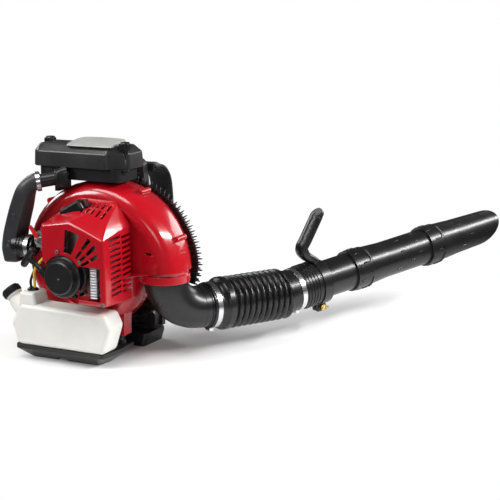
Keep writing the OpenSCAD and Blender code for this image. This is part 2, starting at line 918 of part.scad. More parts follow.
module starter_reel() {
  y = reel_back + gap;
  color("dimgray")
  difference() {
    turn_y([[0, y], [reel_r, y], [reel_r, y + 2], [reel_r - 5, y + 2],
      [reel_r - 5, y + 6.5], [reel_r, y + 6.5], [reel_r, y + reel_len], [0, y + reel_len]]);
    rod_y(fan_x, fan_z, y - 1, y + reel_len + 1, post_r + run_fit);
  }
}

grip_neck = 34;
grip_half = 8.5;

module starter_grip() {
  color("#202020")
  difference() {
    union() {
      on_rope(gap)
        rotate_extrude()
          polygon([[0, 0], [6.5, 0], [6, 6], [5.5, 18], [8, grip_neck + 4],
            [0, grip_neck + 4]]);
      on_rope(grip_neck + grip_half)
        rotate([0, 90, 0])
          rotate_extrude()
            polygon([[0, -grip_len / 2], [5.5, -grip_len / 2],
              [8, 4 - grip_len / 2], [grip_half, 0], [8, grip_len / 2 - 4],
              [5.5, grip_len / 2], [0, grip_len / 2]]);
    }
    on_rope(-1)
      cylinder(h = 27, r = rope_r + gap);
  }
}

module starter_rope() {
  color("white")
  on_rope(-20)
    cylinder(h = 45, r = rope_r);
}

// ---------- Fuel tank ----------

tank_ball = 13;
tank_mid = [-6, -152, 80];
tank_left = -122;
tank_right = 110;
tank_back = -186;
tank_front = -119;

// Corner places of the tank's body and of the tower at its left end.
tank_corners = [for (y = [tank_back, tank_front]) each [
  [tank_left, y, deck_z + gap], [tank_right, y, deck_z + gap],
  [tank_left - 12, y, deck_z + tank_h - 34], [tank_right + 15, y, deck_z + tank_h - 22],
  [tank_left + 8, y, deck_z + tank_h], [tank_right + 6, y, deck_z + tank_h - 4]]];
tower_corners = [for (y = [tank_back + 6, tank_front - 6]) each [
  [tank_left, y, deck_z + 40], [tank_left + 62, y, deck_z + 40],
  [tank_left + 8, y, deck_z + tank_h + 26], [tank_left + 50, y, deck_z + tank_h + 26]]];

// Filler neck: foot, lean from upright, and the cap's place along it.
neck_foot = [tank_left - 11, tank_mid.y, deck_z + tank_h - 4];
neck_lean = -43;
cap_at = 20;

module on_neck(s) {
  translate(neck_foot)
    rotate([0, neck_lean, 0])
      translate([0, 0, s])
        children();
}

module fuel_tank() {
  color("whitesmoke", 0.8)
  difference() {
    union() {
      ball_hull(tank_corners, tank_mid, tank_ball);
      ball_hull(tower_corners, [tank_left + 30, tank_mid.y, deck_z + 80], 8);
      hull() {
        on_neck(0)
          cylinder(h = 8, r = neck_r + 2.5, $fn = 32);
        translate([tank_left + 18, tank_mid.y, deck_z + tank_h - 30])
          sphere(r = 26, $fn = 24);
      }
      on_neck(4)
        cylinder(h = cap_at + cap_h - 4 - 4, r = neck_r);
      on_neck(cap_at - 4)
        cylinder(h = 3, r = neck_r + 2.5);
    }
    ball_hull(tank_corners, tank_mid, tank_ball, tank_wall);
    ball_hull(tower_corners, [tank_left + 30, tank_mid.y, deck_z + 80], 8, tank_wall);
    on_neck(-45)
      cylinder(h = cap_at + cap_h + 51, r = neck_r - 3);
    grommet_at(-6)
      cylinder(h = 12, r = grommet_r);
  }
}

module fuel_cap() {
  color("#1a1a1a")
  on_neck(cap_at)
    difference() {
      union() {
        rotate_extrude()
          polygon([[0, 0], [cap_r - 1.5, 0], [cap_r - 1.5, cap_h - 3],
            [cap_r - 4, cap_h], [cap_r - 9, cap_h], [cap_r - 11, cap_h - 1.5],
            [0, cap_h - 1.5]]);
        for (i = [0 : 17])
          rotate([0, 0, i * 20])
            translate([cap_r - 3, -1.5, 1])
              cube([3, 3, cap_h - 5.5]);
      }
      translate([0, 0, -1])
        cylinder(h = cap_h - 4 + 1 + gap, r = neck_r + run_fit);
    }
}

grommet_r = 10;
grommet_p = [tank_left + 29, tank_mid.y, deck_z + tank_h + 26];
module grommet_at(s) {
  translate(grommet_p + [0, 0, s])
    children();
}

module tank_grommet() {
  color("#151515")
  grommet_at(0)
    difference() {
      rotate_extrude()
        polygon([[0, -tank_wall - 3], [grommet_r - gap, -tank_wall - 3],
          [grommet_r - gap, gap], [13, gap], [12, 4], [8, 6], [0, 6]]);
      for (x = [-5, 5])
        translate([x, 0, -8])
          cylinder(h = 20, r = fuel_hose_r + gap);
    }
}

// Fuel line and return line from the grommet to the carburettor.
fuel_route = [[5, 0, -30], [5, 0, -10], [5, 0, 8], [5, 0, 22], [13, -9, 50], [31, 1, 78], [31, 4, 92.1]];
return_route = [[-5, 0, -30], [-5, 0, -10], [-5, 0, 8], [-5, 0, 22], [4, 6, 48], [22, 14, 74], [24, 16, 92.1]];

module fuel_hoses() {
  color("gold") {
    skin(sweep_loops([for (q = fuel_route) grommet_p + q], 24, 8, [0, 1, 0],
      fuel_hose_r, fuel_hose_r));
    skin(sweep_loops([for (q = return_route) grommet_p + q], 20, 8, [0, 1, 0],
      fuel_hose_r, fuel_hose_r));
  }
}

// ---------- Carburettor and intake ----------

port_end = fan_x - port_len;
insulator_len = 18;
carb_x1 = port_end - gap - insulator_len - gap;
carb_x0 = carb_x1 - 42;
carb_bore = 10;

module intake_insulator() {
  color("#2a2a2a")
  difference() {
    translate([carb_x1 + gap, cyl_y - 21, intake_z - 19])
      cube([insulator_len, 42, 38]);
    rod_x(carb_x1, port_end + 1, cyl_y, intake_z, carb_bore);
  }
}

module carburettor() {
  color("silver")
  difference() {
    union() {
      translate([carb_x0 + 3, cyl_y - 15, intake_z - 17])
        cube([36, 30, 34]);
      translate([carb_x1 - 5, cyl_y - 21, intake_z - 16])
        cube([5, 42, 32]);
      rod_x(carb_x0, carb_x0 + 6, cyl_y, intake_z, 18);
      rod_y(carb_x0 + 20, intake_z, cyl_y - 24, cyl_y + 19, 9);
      rod_z(carb_x0 + 20, cyl_y, intake_z - 24, intake_z - 12, 14);
      rod_z(carb_x0 + 20, cyl_y, intake_z + 12, primer_z, 12);
      translate([carb_x0 + 30, cyl_y - 28, intake_z - 12])
        cube([10, 14, 4]);
    }
    rod_x(carb_x0 - 1, carb_x1 + 1, cyl_y, intake_z, carb_bore);
    rod_y(carb_x0 + 20, intake_z, cyl_y - 26, cyl_y - 12, throttle_shaft_r + run_fit);
    rod_y(carb_x0 + 8, intake_z + 9, cyl_y - 20, cyl_y - 9, throttle_shaft_r + run_fit);
    rod_z(carb_x0 + 20, cyl_y, primer_z - 9, primer_z + 1, 5 + run_fit);
  }
}
throttle_shaft_r = 3;
primer_z = intake_z + 24;

module primer_bulb() {
  color("#303030")
  translate([carb_x0 + 20, cyl_y, primer_z])
    rotate_extrude()
      polygon([[0, -5], [5, -5], [5, 3.5], [9, 4], [9.5, 7], [8, 11], [5, 13.5], [0, 14.5]]);
}

module throttle_lever() {
  x = carb_x0 + 20;
  y = cyl_y - 24;
  color("silver")
  union() {
    rod_y(x, intake_z, y - 5, cyl_y - 13, throttle_shaft_r);
    slab_y(y - 5, y - gap)
      polygon([[x - 6, intake_z - 3], [x - 1, intake_z - 6], [x + 6, intake_z - 2],
        [x + 18, intake_z + 9], [x + 14, intake_z + 14], [x - 3, intake_z + 5]]);
  }
}

module choke_lever() {
  x = carb_x0 + 8;
  z = intake_z + 9;
  color("red")
  union() {
    rod_y(x, z, cyl_y - 19, cyl_y - 10, throttle_shaft_r);
    slab_y(cyl_y - 22, cyl_y - 19)
      polygon([[x - 4, z - 4], [x + 4, z - 4], [x + 4, z + 4], [x - 4, z + 14],
        [x - 14, z + 24], [x - 20, z + 20], [x - 12, z + 8], [x - 6, z]]);
  }
}

// Moulded duct from the air cleaner down to the carburettor's face.
duct_y = -134;
stub_dir = unit([0.8, 0.55, 0.15]);
air_gap = 3.6;
air_base_h = 28;
air_floor = 6;
air_z = fan_z + scroll(90) + air_gap + air_base_h;
duct_top = [-74, duct_y, air_z - air_base_h - 2];
duct_path = [duct_top, duct_top - 11 * stub_dir,
  [-93.5, duct_y - 11.5, air_z - 37], [-104, duct_y - 13, air_z - 53],
  [-120, duct_y - 6, 345], [-134, duct_y, 308], [-144, duct_y, 275], [-147, duct_y, 248]];
duct_half = [19, 19, 18.5, 17.5, 16, 15.5, 16, 17];
duct_half_y = [19, 19, 19, 20, 24, 25, 25, 25];
chamber_z = intake_z - 19;

function duct_loops(w) = [for (k = [0 : 16])
  let (u = 7 * k / 16, c = on_curve(duct_path, u),
    t = unit(on_curve(duct_path, min(u + 0.1, 7)) - on_curve(duct_path, max(u - 0.1, 0))),
    e2 = unit([0, 1, 0] - t.y * t), e1 = cross(e2, t), i = min(floor(u), 6), f = u - i,
    h = duct_half[i] * (1 - f) + duct_half[i + 1] * f - w,
    v = duct_half_y[i] * (1 - f) + duct_half_y[i + 1] * f - w,
    p = 2 + 1.2 * ease((u - 1) / 3))
  [for (j = [0 : 15])
    let (a = 22.5 * j, m = pow(pow(abs(cos(a)), p) + pow(abs(sin(a)), p), -1 / p))
    c - (k == 0 && w > 0 ? 2 : 0) * t + e1 * h * m * cos(a) + e2 * v * m * sin(a)]];

duct_wall = 2.5;
chamber_x = carb_x0 - 44;

module intake_duct() {
  color("#202020")
  difference() {
    union() {
      skin(duct_loops(0));
      hull() {
        rod_x(chamber_x, chamber_x + 18, cyl_y - 2, chamber_z, 26);
        translate([duct_path[7].x - 19, duct_y - 27, chamber_z - 38])
          cube([30, 54, 60]);
      }
      rod_x(chamber_x + 10, carb_x0 - 8, cyl_y - 2, chamber_z, 24);
      rod_x(carb_x0 - 14.5, carb_x0 - gap, cyl_y, intake_z - 4, 20);
    }
    skin(duct_loops(duct_wall));
    rod_x(chamber_x - 20, carb_x0 - 12, cyl_y - 2, chamber_z, 21);
    rod_x(carb_x0 - 13.5, carb_x0 + 1, cyl_y, intake_z, carb_bore);
  }
}

// Places children with +Z along the stub that joins the duct to the air cleaner.
module on_stub(s) {
  translate(duct_top + s * stub_dir)
    rotate([0, 90 - asin(stub_dir.z), atan2(stub_dir.y, stub_dir.x)])
      children();
}
snout_r = duct_half[0] - duct_wall - 1.2;

module duct_clamps() {
  color("silver") {
    on_stub(-10)
      band(duct_half[0] + 1.4, 2, 9);
    translate([chamber_x + 19, cyl_y - 2, chamber_z])
      rotate([0, 90, 0])
        band(24 + gap, 2, 10);
  }
}

// Flat band of width w round a pipe of radius r.
module band(r, t, w) {
  difference() {
    cylinder(h = w, r = r + t);
    translate([0, 0, -1])
      cylinder(h = w + 2, r = r);
  }
}

// ---------- Air cleaner ----------

air_lo = [-100, -104];
air_hi = [108, -16];
air_foot_z = 372;

module air_cleaner_base() {
  color("#1e1e1e")
  difference() {
    union() {
      soft_box([air_lo.x, air_lo.y, air_z - air_base_h], [air_hi.x, air_hi.y, air_z], 12);
      for (x = [-74, 78])
        translate([x, -80, air_foot_z])
          cube([15, 44, air_z - air_base_h + 8 - air_foot_z]);
      on_stub(-7)
        cylinder(h = 63, r = snout_r);
      rod_z(-104, -48, air_z - 8, air_z, 11);
      rod_z(air_hi.x + 2, -78, air_z - 8, air_z, 11);
    }
    translate([air_lo.x + 6, air_lo.y + 6, air_z - air_base_h + air_floor])
      cube([air_hi.x - air_lo.x - 12, air_hi.y - air_lo.y - 12, air_base_h + 2]);
    on_stub(-13)
      cylinder(h = 76, r = snout_r - duct_wall);
    rod_y(seam_at(95).x, seam_at(95).y, -70, -12, boss_r + 1);
    rod_y(fan_x, fan_z, -140, fan_x, scroll(112) + gap);
    translate([fan_x, -140, fan_z])
      cube([100, 140, scroll(68) * sin(68) + 8]);
    for (p = knob_places)
      rod_z(p.x, p.y, air_z - 6, air_z + 1, knob_pin_r + run_fit);
  }
}
knob_places = [[-104, -48], [air_hi.x + 2, -78]];
knob_pin_r = 4;

// Pleated filter: paper folds between two end boards.
module filter_element() {
  pitch = 6;
  color("khaki")
  union() {
    slab_y(air_lo.y + 8, air_hi.y - 8)
      polygon([
        for (i = [0 : 28]) [air_lo.x + 14 + i * pitch, air_z - 20 + (i % 2) * 10],
        for (i = [28 : -1 : 0]) [air_lo.x + 14 + i * pitch, air_z + 28 + (i % 2) * 10]]);
    for (x = [air_lo.x + 10, air_lo.x + 14 + 28 * pitch - 2])
      translate([x, air_lo.y + 8, air_z - air_base_h + air_floor + 1])
        cube([6, air_hi.y - air_lo.y - 16, 60]);
  }
}

// Corner places of the air cleaner's cover.
function cover_ring(dx, z) = [
  [-118 + dx, -98, z], [-104 + dx, -112 + dx, z], [85, -112 + dx, z], [122 - dx, -80, z],
  [122 - dx, -12 - dx, z], [-118 + dx, -12 - dx, z]];
air_corners = concat(cover_ring(0, air_z - 12), cover_ring(2, air_z + 22),
  cover_ring(12, air_z + air_cover_h));

module air_cleaner_cover() {
  top = air_z + air_cover_h;
  color("#262626")
  difference() {
    ball_hull(air_corners, [0, -60, air_z + 25], 8);
    ball_hull(air_corners, [0, -60, air_z + 25], 8, air_wall);
    translate([-200, -200, air_z - 40])
      cube([400, 400, 40 + gap]);
    translate([-22, -94, top - lid_seat])
      cube([lid_size.x + 2 * gap + 6, lid_size.y + 2 * gap + 6, 20]);
    for (p = knob_places)
      rod_z(p.x, p.y, air_z - 1, top + 1, knob_pin_r + 1);
    for (p = knob_places)
      rod_z(p.x, p.y, knob_seat, top + 1, knob_r + 1.5);
  }
}
lid_seat = 2;
lid_size = [102, 60];
knob_seat = air_z + air_cover_h - 8;

module air_cleaner_lid() {
  color("#9a9a9a")
  translate([-19 + gap, -91 + gap, air_z + air_cover_h - lid_seat])
    linear_extrude(6)
      polygon([[6, 0], [42, 0], [51, 12], [60, 0], [96, 0], [102, 6], [102, 54],
        [96, 60], [6, 60], [0, 54], [0, 6]]);
}

module knob(p) {
  color("#141414")
  translate([p.x, p.y, 0])
    union() {
      translate([0, 0, knob_seat + gap])
        cylinder(h = knob_h - 3, r = knob_r - 1.5);
      translate([0, 0, knob_seat + gap + knob_h - 3])
        cylinder(h = 3, r1 = knob_r - 1.5, r2 = knob_r - 4);
      for (i = [0 : 11])
        rotate([0, 0, 30 * i])
          translate([knob_r - 3, -1.5, knob_seat + gap + 1])
            cube([3, 3, knob_h - 5]);
      translate([0, 0, air_z - 4])
        cylinder(h = knob_seat - air_z + 5, r = knob_pin_r);
    }
}
module cover_knob_left() { knob(knob_places[0]); }
module cover_knob_right() { knob(knob_places[1]); }

// ---------- Elbow and hose ----------

// Pipe of length h with outer radius r and wall w.
module pipe(h, r, w) {
  difference() {
    cylinder(h = h, r = r);
    translate([0, 0, -1])
      cylinder(h = h + 2, r = r - w);
  }
}

// Quarter bend that drops from the outlet and turns level, then a thicker plain cuff.
elbow_step = 0.7;

module elbow() {
  color("#2a2a2a")
  union() {
    translate([outlet_x, outlet_y, elbow_top] + elbow_bend * hose_dir)
      rotate([90, 0, 90 - hose_az])
        rotate([0, 0, 180])
          rotate_extrude(angle = 90)
            translate([elbow_bend, 0])
              difference() {
                circle(r = elbow_r - elbow_step);
                circle(r = elbow_r - elbow_wall + elbow_step);
              }
    on_hose(9.5 - elbow_tail)
      pipe(elbow_tail + 1.5, elbow_r, elbow_wall);
    on_hose(-17)
      pipe(3, elbow_r + 2, 3);
  }
}

// Worm-drive clamp: band, screw housing and screw head.
module worm_clamp(r) {
  union() {
    band(r, 1.6, 12);
    translate([-9, r + 1, 1])
      cube([18, 7, 10]);
    translate([-16, r + 5, 6])
      rotate([0, 90, 0])
        cylinder(h = 8, r = 4);
  }
}

cuff_r = elbow_r + run_fit + hose_wall + 1;

module rear_hose_clamp() {
  color("silver")
  on_hose(-6)
    worm_clamp(cuff_r + run_fit);
}

// Ribbed hose: a plain cuff over the elbow, then round ribs, cut square to the tube beyond.
rib_pitch = bellows_len / rib_count;
rib_in = rib_r - rib_depth;
bellows_profile = [
  [cuff_r, -12], [cuff_r, 12], [cuff_r + 3, 15], [rib_r - 3, 23], [rib_r, 31],
  [rib_r, bellows_start - 6], [rib_r - 2, bellows_start - 2],
  for (i = [0 : rib_count - 1]) let (z = bellows_start + i * rib_pitch) each [
    [rib_in, z + 0.5], [rib_r - 1.5, z + 0.28 * rib_pitch], [rib_r, z + 0.4 * rib_pitch],
    [rib_r, z + 0.6 * rib_pitch], [rib_r - 1.5, z + 0.72 * rib_pitch],
    [rib_in, z + rib_pitch - 0.5]],
  [rib_in, kink + 12]];
bellows_bore = [
  [rib_in - hose_wall, kink + 12],
  for (i = [rib_count - 1 : -1 : 0]) let (z = bellows_start + i * rib_pitch) each [
    [rib_in - hose_wall, z + rib_pitch - 1.5], [rib_r - hose_wall, z + 0.62 * rib_pitch],
    [rib_r - hose_wall, z + 0.38 * rib_pitch], [rib_in - hose_wall, z + 1.5]],
  [rib_r - hose_wall, bellows_start - 5], [rib_r - hose_wall, 32],
  [rib_r - hose_wall - 3, 24], [elbow_r + run_fit, 16], [elbow_r + run_fit, -12]];

module bellows_hose() {
  color("#1c1c1c")
  difference() {
    on_hose(0)
      rotate_extrude()
        polygon(concat(bellows_profile, bellows_bore));
    on_tube(-gap)
      translate([-100, -100, 0])
        cube([200, 200, 60]);
  }
}

hose_end_len = 86;
ridge_at = 52;
ridge_pitch = (hose_end_len - ridge_at) / 4;
pipe_start = 52;
collar_grip_r = tube_r + 7;

module hose_end() {
  bore = tube_r + run_fit;
  color("#202020")
  on_tube(0)
    difference() {
      union() {
        cylinder(h = 45, r = collar_grip_r - 1.5);
        translate([0, 0, 45])
          cylinder(h = hose_end_len - 45, r = collar_grip_r);
        for (i = [0 : 3])
          translate([0, 0, ridge_at + ridge_pitch * i])
            cylinder(h = 4.5, r = collar_grip_r + 2);
        cylinder(h = 4, r = rib_in);
      }
      translate([0, 0, -1])
        cylinder(h = pipe_start + 1 - gap, r = tube_r - tube_wall);
      translate([0, 0, pipe_start - 0.5 - gap])
        cylinder(h = hose_end_len, r = bore);
    }
}

module front_hose_clamp() {
  color("silver")
  on_tube(27)
    worm_clamp(collar_grip_r - 1.5 + run_fit);
}

// ---------- Blower tube ----------

socket_r = tube_r + gap + socket_wall;
joint_lap = 49;
rim = 16;
socket2 = pipe1_len - joint_lap;
socket3 = socket2 + pipe2_len;
tip = socket3 + nozzle_len;

module swivel_pipe() {
  color("#232323")
  on_tube(pipe_start)
    difference() {
      union() {
        cylinder(h = pipe1_len - pipe_start, r = tube_r);
        translate([0, 0, hose_end_len - pipe_start + gap])
          cylinder(h = 4, r = collar_grip_r);
        translate([0, 0, socket2 - 6 - pipe_start])
          cylinder(h = 6 - gap, r = socket_r);
      }
      translate([0, 0, -1])
        cylinder(h = pipe1_len, r = tube_r - tube_wall);
    }
}

// Socketed tube section: the socket slides over the section before it, with slotted lugs.
module socketed(len, end_r) {
  inner = tube_r + gap;
  difference() {
    union() {
      rotate_extrude()
        polygon([[0, 0], [socket_r, 0], [socket_r, socket_len - 20],
          [socket_r - 2, socket_len - 17], [tube_r + 1, socket_len + 26],
          [tube_r, socket_len + 40], [end_r, len - rim], [end_r, len], [0, len]]);
      for (i = [0 : 7])
        rotate([0, 0, 45 * i + 22.5])
          translate([socket_r - 1, -4, 3])
            cube([2.2, 8, 12]);
    }
    translate([0, 0, -1])
      cylinder(h = joint_lap + 3, r = inner);
    rotate_extrude()
      polygon([[0, joint_lap + 1], [tube_r - tube_wall, joint_lap + 1],
        [tube_r - tube_wall, socket_len + 56], [end_r - tube_wall, len - rim],
        [end_r - tube_wall, len + 1], [0, len + 1]]);
    for (i = [0 : 3])
      rotate([0, 0, 90 * i])
        translate([socket_r - 2, -2.5, 20])
          cube([8, 5, 16]);
  }
}

module middle_pipe() {
  color("#232323")
  on_tube(socket2)
    socketed(pipe2_len + joint_lap, tube_r);
}

// The mouth is cut at a slant, longest on its upper outer side.
module nozzle() {
  color("#1e1e1e")
  on_tube(socket3)
    difference() {
      socketed(nozzle_len, mouth_r);
      translate([0, 0, nozzle_len - mouth_r * tan(mouth_slant)])
        rotate([0, -mouth_slant, -45])
          translate([-2 * mouth_r, -2 * mouth_r, 0])
            cube([4 * mouth_r, 4 * mouth_r, 3 * mouth_r]);
    }
}

// ---------- Tube handle ----------

ring_at = hose_end_len + 4 + 2 * gap;
ring_t = 10;
lug_drop = 16;

// Points of the handle's bar in the tube's upright plane: [along, above the tube axis].
horn_foot = ring_at + ring_w / 2;
horn_start = tube_r + ring_t - 4;
horn_path = [
  [horn_foot + 2, horn_start], [horn_foot - 10, horn_start + 10],
  [horn_foot - 26, horn_start + 22], [horn_foot - 32, horn_start + 42],
  for (k = [1 : 4]) [horn_foot - 32 + horn_len * k / 4 * sin(horn_lean),
    horn_start + 42 + horn_len * k / 4 * cos(horn_lean)]];

module handle() {
  color("#262626")
  difference() {
    union() {
      on_tube(ring_at)
        cylinder(h = ring_w, r = tube_r + ring_t);
      on_tube(0)
        skin(sweep_loops([for (q = horn_path) [0, -q[1], q[0]]], 24, 12, [1, 0, 0],
          horn_w / 2, 10.5, 3));
      on_tube(0)
        translate([0, -horn_path[7][1], horn_path[7][0]])
          rotate([90 + horn_lean, 0, 0])
            translate([0, 0, -2])
              cylinder(h = 5, r = horn_w / 2 + 2);
      on_tube(ring_at)
        translate([-11, tube_r + 2, 0])
          cube([22, ring_t + lug_drop - 2, ring_w]);
    }
    on_tube(ring_at - 1)
      cylinder(h = ring_w + 2, r = tube_r + gap);
    on_tube(ring_at - 20)
      cylinder(h = 20 - gap / 2, r = collar_grip_r + 2 + 2 * gap);
    on_tube(ring_at - 1)
      translate([-3, 0, 0])
        cube([6, tube_r + ring_t + lug_drop + 10, ring_w + 2]);
    on_tube(ring_at + ring_w / 2)
      translate([-20, tube_r + ring_t + 7, 0])
        rotate([0, 90, 0])
          cylinder(h = 40, r = bolt_r + run_fit);
  }
}
bolt_r = 3;

// Wing bolt that draws the ring's lugs together.
module handle_bolt() {
  color("gold")
  on_tube(ring_at + ring_w / 2)
    translate([0, tube_r + ring_t + 7, 0])
      rotate([0, 90, 0])
        union() {
          translate([0, 0, -16])
            cylinder(h = 36, r = bolt_r);
          translate([0, 0, 11 + gap])
            cylinder(h = 7, r = 7);
          rotate([90, 0, 0])
            translate([0, 0, -1.5])
              linear_extrude(3)
                polygon([[-7.4, 13], [7.4, 13], [8, 16], [12, 27], [9, 27], [4, 19], [-4, 19],
                  [-9, 27], [-12, 27], [-8, 16]]);
          translate([0, 0, -16])
            cylinder(h = 5 - gap, r = 6);
        }
}

// ---------- Base and back plate ----------

// Foot: flares from its ground outline up to its deck.
module flared(low, high, z, r) {
  hull() {
    for (q = low)
      translate([q.x, q.y, 0])
        cylinder(h = 1, r = r, $fn = hull_fn);
    for (q = high)
      translate([q.x, q.y, z - 9])
        cylinder(h = 9, r = r, $fn = hull_fn);
  }
}

front_foot_h = 30;
waist_half = 44;

module base_tray() {
  color("#161616")
  difference() {
    union() {
      flared([[-94, -143], [66, -143], [73, -112], [48, -50], [-56, -50], [-88, -108]],
        [[tank_left + 4, tank_back + 14], [tank_right - 14, tank_back + 14],
        [tank_right - 6, -112], [101, -60], [-66, -60], [tank_left + 4, -112]],
        deck_z, 9);
      translate([-waist_half, -95, 0])
        cube([2 * waist_half, 120, 24]);
      flared([[-84, 26], [84, 26], [88, 92], [-88, 92]],
        [[-90, 30], [90, 30], [92, 98], [-92, 98]], front_foot_h, 9);
    }
    slab_y(-210, -128)
      polygon([[-34, -1], [-28, 9], [-8, 9], [-2, -1]]);
  }
}

plate_rib = 10;
handle_slot_z = 416;

module plate_outline(d) {
  hull()
    for (s = [-1, 1]) {
      translate([s * 80, front_foot_h + 20])
        circle(r = 20 - d, $fn = 32);
      translate([s * 80, 150])
        circle(r = 20 - d, $fn = 32);
      translate([s * 53, plate_top - 22])
        circle(r = 22 - d, $fn = 32);
    }
}

module back_plate() {
  y1 = plate_y + plate_t;
  color("#1b1b1b")
  difference() {
    union() {
      difference() {
        slab_y(plate_y, y1)
          plate_outline(0);
        slab_y(plate_y - 1, plate_y + 13)
          plate_outline(plate_rib);
      }
      slab_y(plate_y, y1 - 4)
        intersection() {
          plate_outline(1);
          union() {
            for (m = front_mounts)
              translate([fan_x + m[1] * cos(m[0]), fan_z + m[1] * sin(m[0])])
                circle(r = mount_r + 6);
            for (x = [-46, 38])
              translate([x, front_foot_h])
                square([8, 380]);
            for (z = [88, 214, 352, 394])
              translate([-100, z])
                square([200, 7]);
            translate([fan_x, fan_z])
              difference() {
                circle(r = guard_r + 3);
                circle(r = guard_r - 7);
              }
          }
        }
      rod_x(-arm_boss_x, -90, plate_y + plate_t / 2, arm_z, plate_t / 2);
    }
    slab_y(plate_y - 5, y1 + 5)
      hull()
        for (x = [-34, 34])
          translate([x, handle_slot_z])
            circle(r = 10, $fn = 32);
    rod_x(-arm_boss_x - 1, -76, plate_y + plate_t / 2, arm_z, pivot_r + run_fit);
  }
}
arm_boss_x = 106;
arm_z = 120;

module rubber_mounts() {
  color("#101010") {
    for (m = rear_mounts)
      translate([m.x, m.y, deck_z])
        rotate_extrude()
          polygon([[0, 0], [mount_r, 0], [mount_r, 5], [mount_r - 3, 8],
            [mount_r - 3, mount_h - 8], [mount_r, mount_h - 5],
            [mount_r, mount_h], [0, mount_h]]);
    for (m = front_mounts)
      turn_y([[0, front_face_y + front_boss], [mount_r, front_face_y + front_boss],
        [mount_r, front_face_y + front_boss + 6], [mount_r - 3, front_face_y + 18],
        [mount_r - 3, plate_y - 10], [mount_r, plate_y - 6], [mount_r, plate_y],
        [0, plate_y]], fan_x + m[1] * cos(m[0]), fan_z + m[1] * sin(m[0]));
  }
}

// ---------- Harness ----------

pad_y = plate_y + plate_t + gap;
pad_half_w = 84;
pad_low = 92;
pad_high = 396;
pad_edge = 7;

// Crown of the pad at u, v from -1 to 1, with three level channels and one upright channel.
function pad_dome(u, v) =
  let (a = pow(max(0, 1 - pow(abs(u), 2.6)), 0.5), b = pow(max(0, 1 - pow(abs(v), 5)), 0.5),
    groove = 0.38 * exp(-pow(u / 0.07, 2)),
    level = 0.4 * (exp(-pow((v - 0.5) / 0.05, 2)) + exp(-pow(v / 0.05, 2))
      + exp(-pow((v + 0.5) / 0.05, 2))))
  pad_crown * a * b * (1 - max(groove, level));
function pad_width(v) = pad_half_w * (1 - 0.1 * pow(abs(v), 4)) - 5 * cos(v * 90) * cos(v * 90);

pad_rows = 28;
pad_cols = 16;

function pad_loops() = [for (k = [0 : pad_rows])
  let (v = -1 + 2 * k / pad_rows, z = pad_low + (pad_high - pad_low) * k / pad_rows,
    w = pad_width(v))
  concat(
    [for (j = [0 : pad_cols]) let (u = -1 + 2 * j / pad_cols)
      [w * u, pad_y + pad_edge + pad_dome(u, v), z]],
    [for (j = [pad_cols : -2 : 0]) let (u = -1 + 2 * j / pad_cols)
      [w * u * 0.98, pad_y, z]])];

module back_pad() {
  color("#2b2b2b")
  skin([for (loop = pad_loops()) [for (i = [len(loop) - 1 : -1 : 0]) loop[i]]]);
}

// Shoulder strap: a padded part from the top anchor, then webbing to the plate's foot.
strap_x = 64;
strap_route = [[0, 9.2, 0], [0, 30, 2], [0, 58, -10], [2, 76, -42], [4, 80, -110],
  [6, 74, -180], [8, 66, -232]];
web_route = [[8, 67, -226], [10, 60, -262], [18, 42, -310], [26, 16, -352]];
strap_top = [strap_x, pad_y, plate_top - 22];

module strap(side) {
  color("#202020")
  scale([side, 1, 1])
    union() {
      skin(sweep_loops([for (q = strap_route) strap_top + q], 24, 12, [1, 0, 0],
        strap_w / 2, strap_t / 2, 3.2));
      skin(sweep_loops([for (q = web_route) strap_top + q], 12, 8, [1, 0, 0],
        web_w / 2, 1.4, 4));
    }
}
module strap_left() { strap(-1); }
module strap_right() { strap(1); }

module strap_hardware() {
  color("#303030")
  for (s = [-1, 1]) {
    translate([s * strap_x - 25, pad_y, strap_top.z - 9])
      cube([50, 8, 18]);
    translate([s * (strap_x + 26) - 17, pad_y, strap_top.z - 376])
      cube([34, 14, 24]);
  }
}

// ---------- Throttle arm ----------

arm_x = -arm_boss_x - gap - 10;
arm_rise = 8;

// Places children at the arm's pivot with +Y along the arm.
module on_arm() {
  translate([arm_x, plate_y + plate_t / 2, arm_z])
    rotate([arm_rise, 0, 0])
      children();
}

module throttle_arm() {
  color("#242424")
  on_arm()
    union() {
      translate([-10, 0, 0])
        rotate([0, 90, 0])
          cylinder(h = 20, r = 15);
      translate([9, 0, 0])
        rotate([0, 90, 0])
          cylinder(h = 26, r = pivot_r);
      rod_y(0, 0, 10, arm_len, arm_r);
    }
}

grip_y = arm_len + 12;
trigger_y = grip_y + 24;
trigger_z = 96;

module throttle_grip() {
  color("#1d1d1d")
  on_arm()
    difference() {
      union() {
        skin(sweep_loops([[0, grip_y - 2, -16], [0, grip_y, 20], [0, grip_y + 4, 60],
          [0, grip_y + 2, 100], [0, grip_y - 6, 124]], 14, 14, [1, 0, 0],
          15, 18, 2.4));
        for (x = [-13, 7.5])
          hull() {
            translate([x, trigger_y, trigger_z])
              rotate([0, 90, 0])
                cylinder(h = 5.5, r = 6, $fn = 32);
            translate([x, grip_y + 6, trigger_z - 6])
              cube([5.5, 8, 12]);
          }
      }
      rod_y(0, 0, 0, arm_len + gap, arm_r + gap);
      translate([-14, trigger_y, trigger_z])
        rotate([0, 90, 0])
          cylinder(h = 30, r = 2.5 + run_fit);
      translate([-5, grip_y - 14, 112])
        cube([10, 20, 20]);
    }
}

module throttle_trigger() {
  color("#c02020")
  on_arm()
    union() {
      translate([-12.5, trigger_y, trigger_z])
        rotate([0, 90, 0])
          cylinder(h = 25, r = 2.5);
      slab_x(-6, 6)
        polygon([[trigger_y - 1, trigger_z + 4], [trigger_y + 5, trigger_z + 2],
          [trigger_y + 15, trigger_z - 30], [trigger_y + 20, trigger_z - 62],
          [trigger_y + 15, trigger_z - 66], [trigger_y + 10, trigger_z - 32],
          [trigger_y - 0.5, trigger_z - 5]]);
    }
}

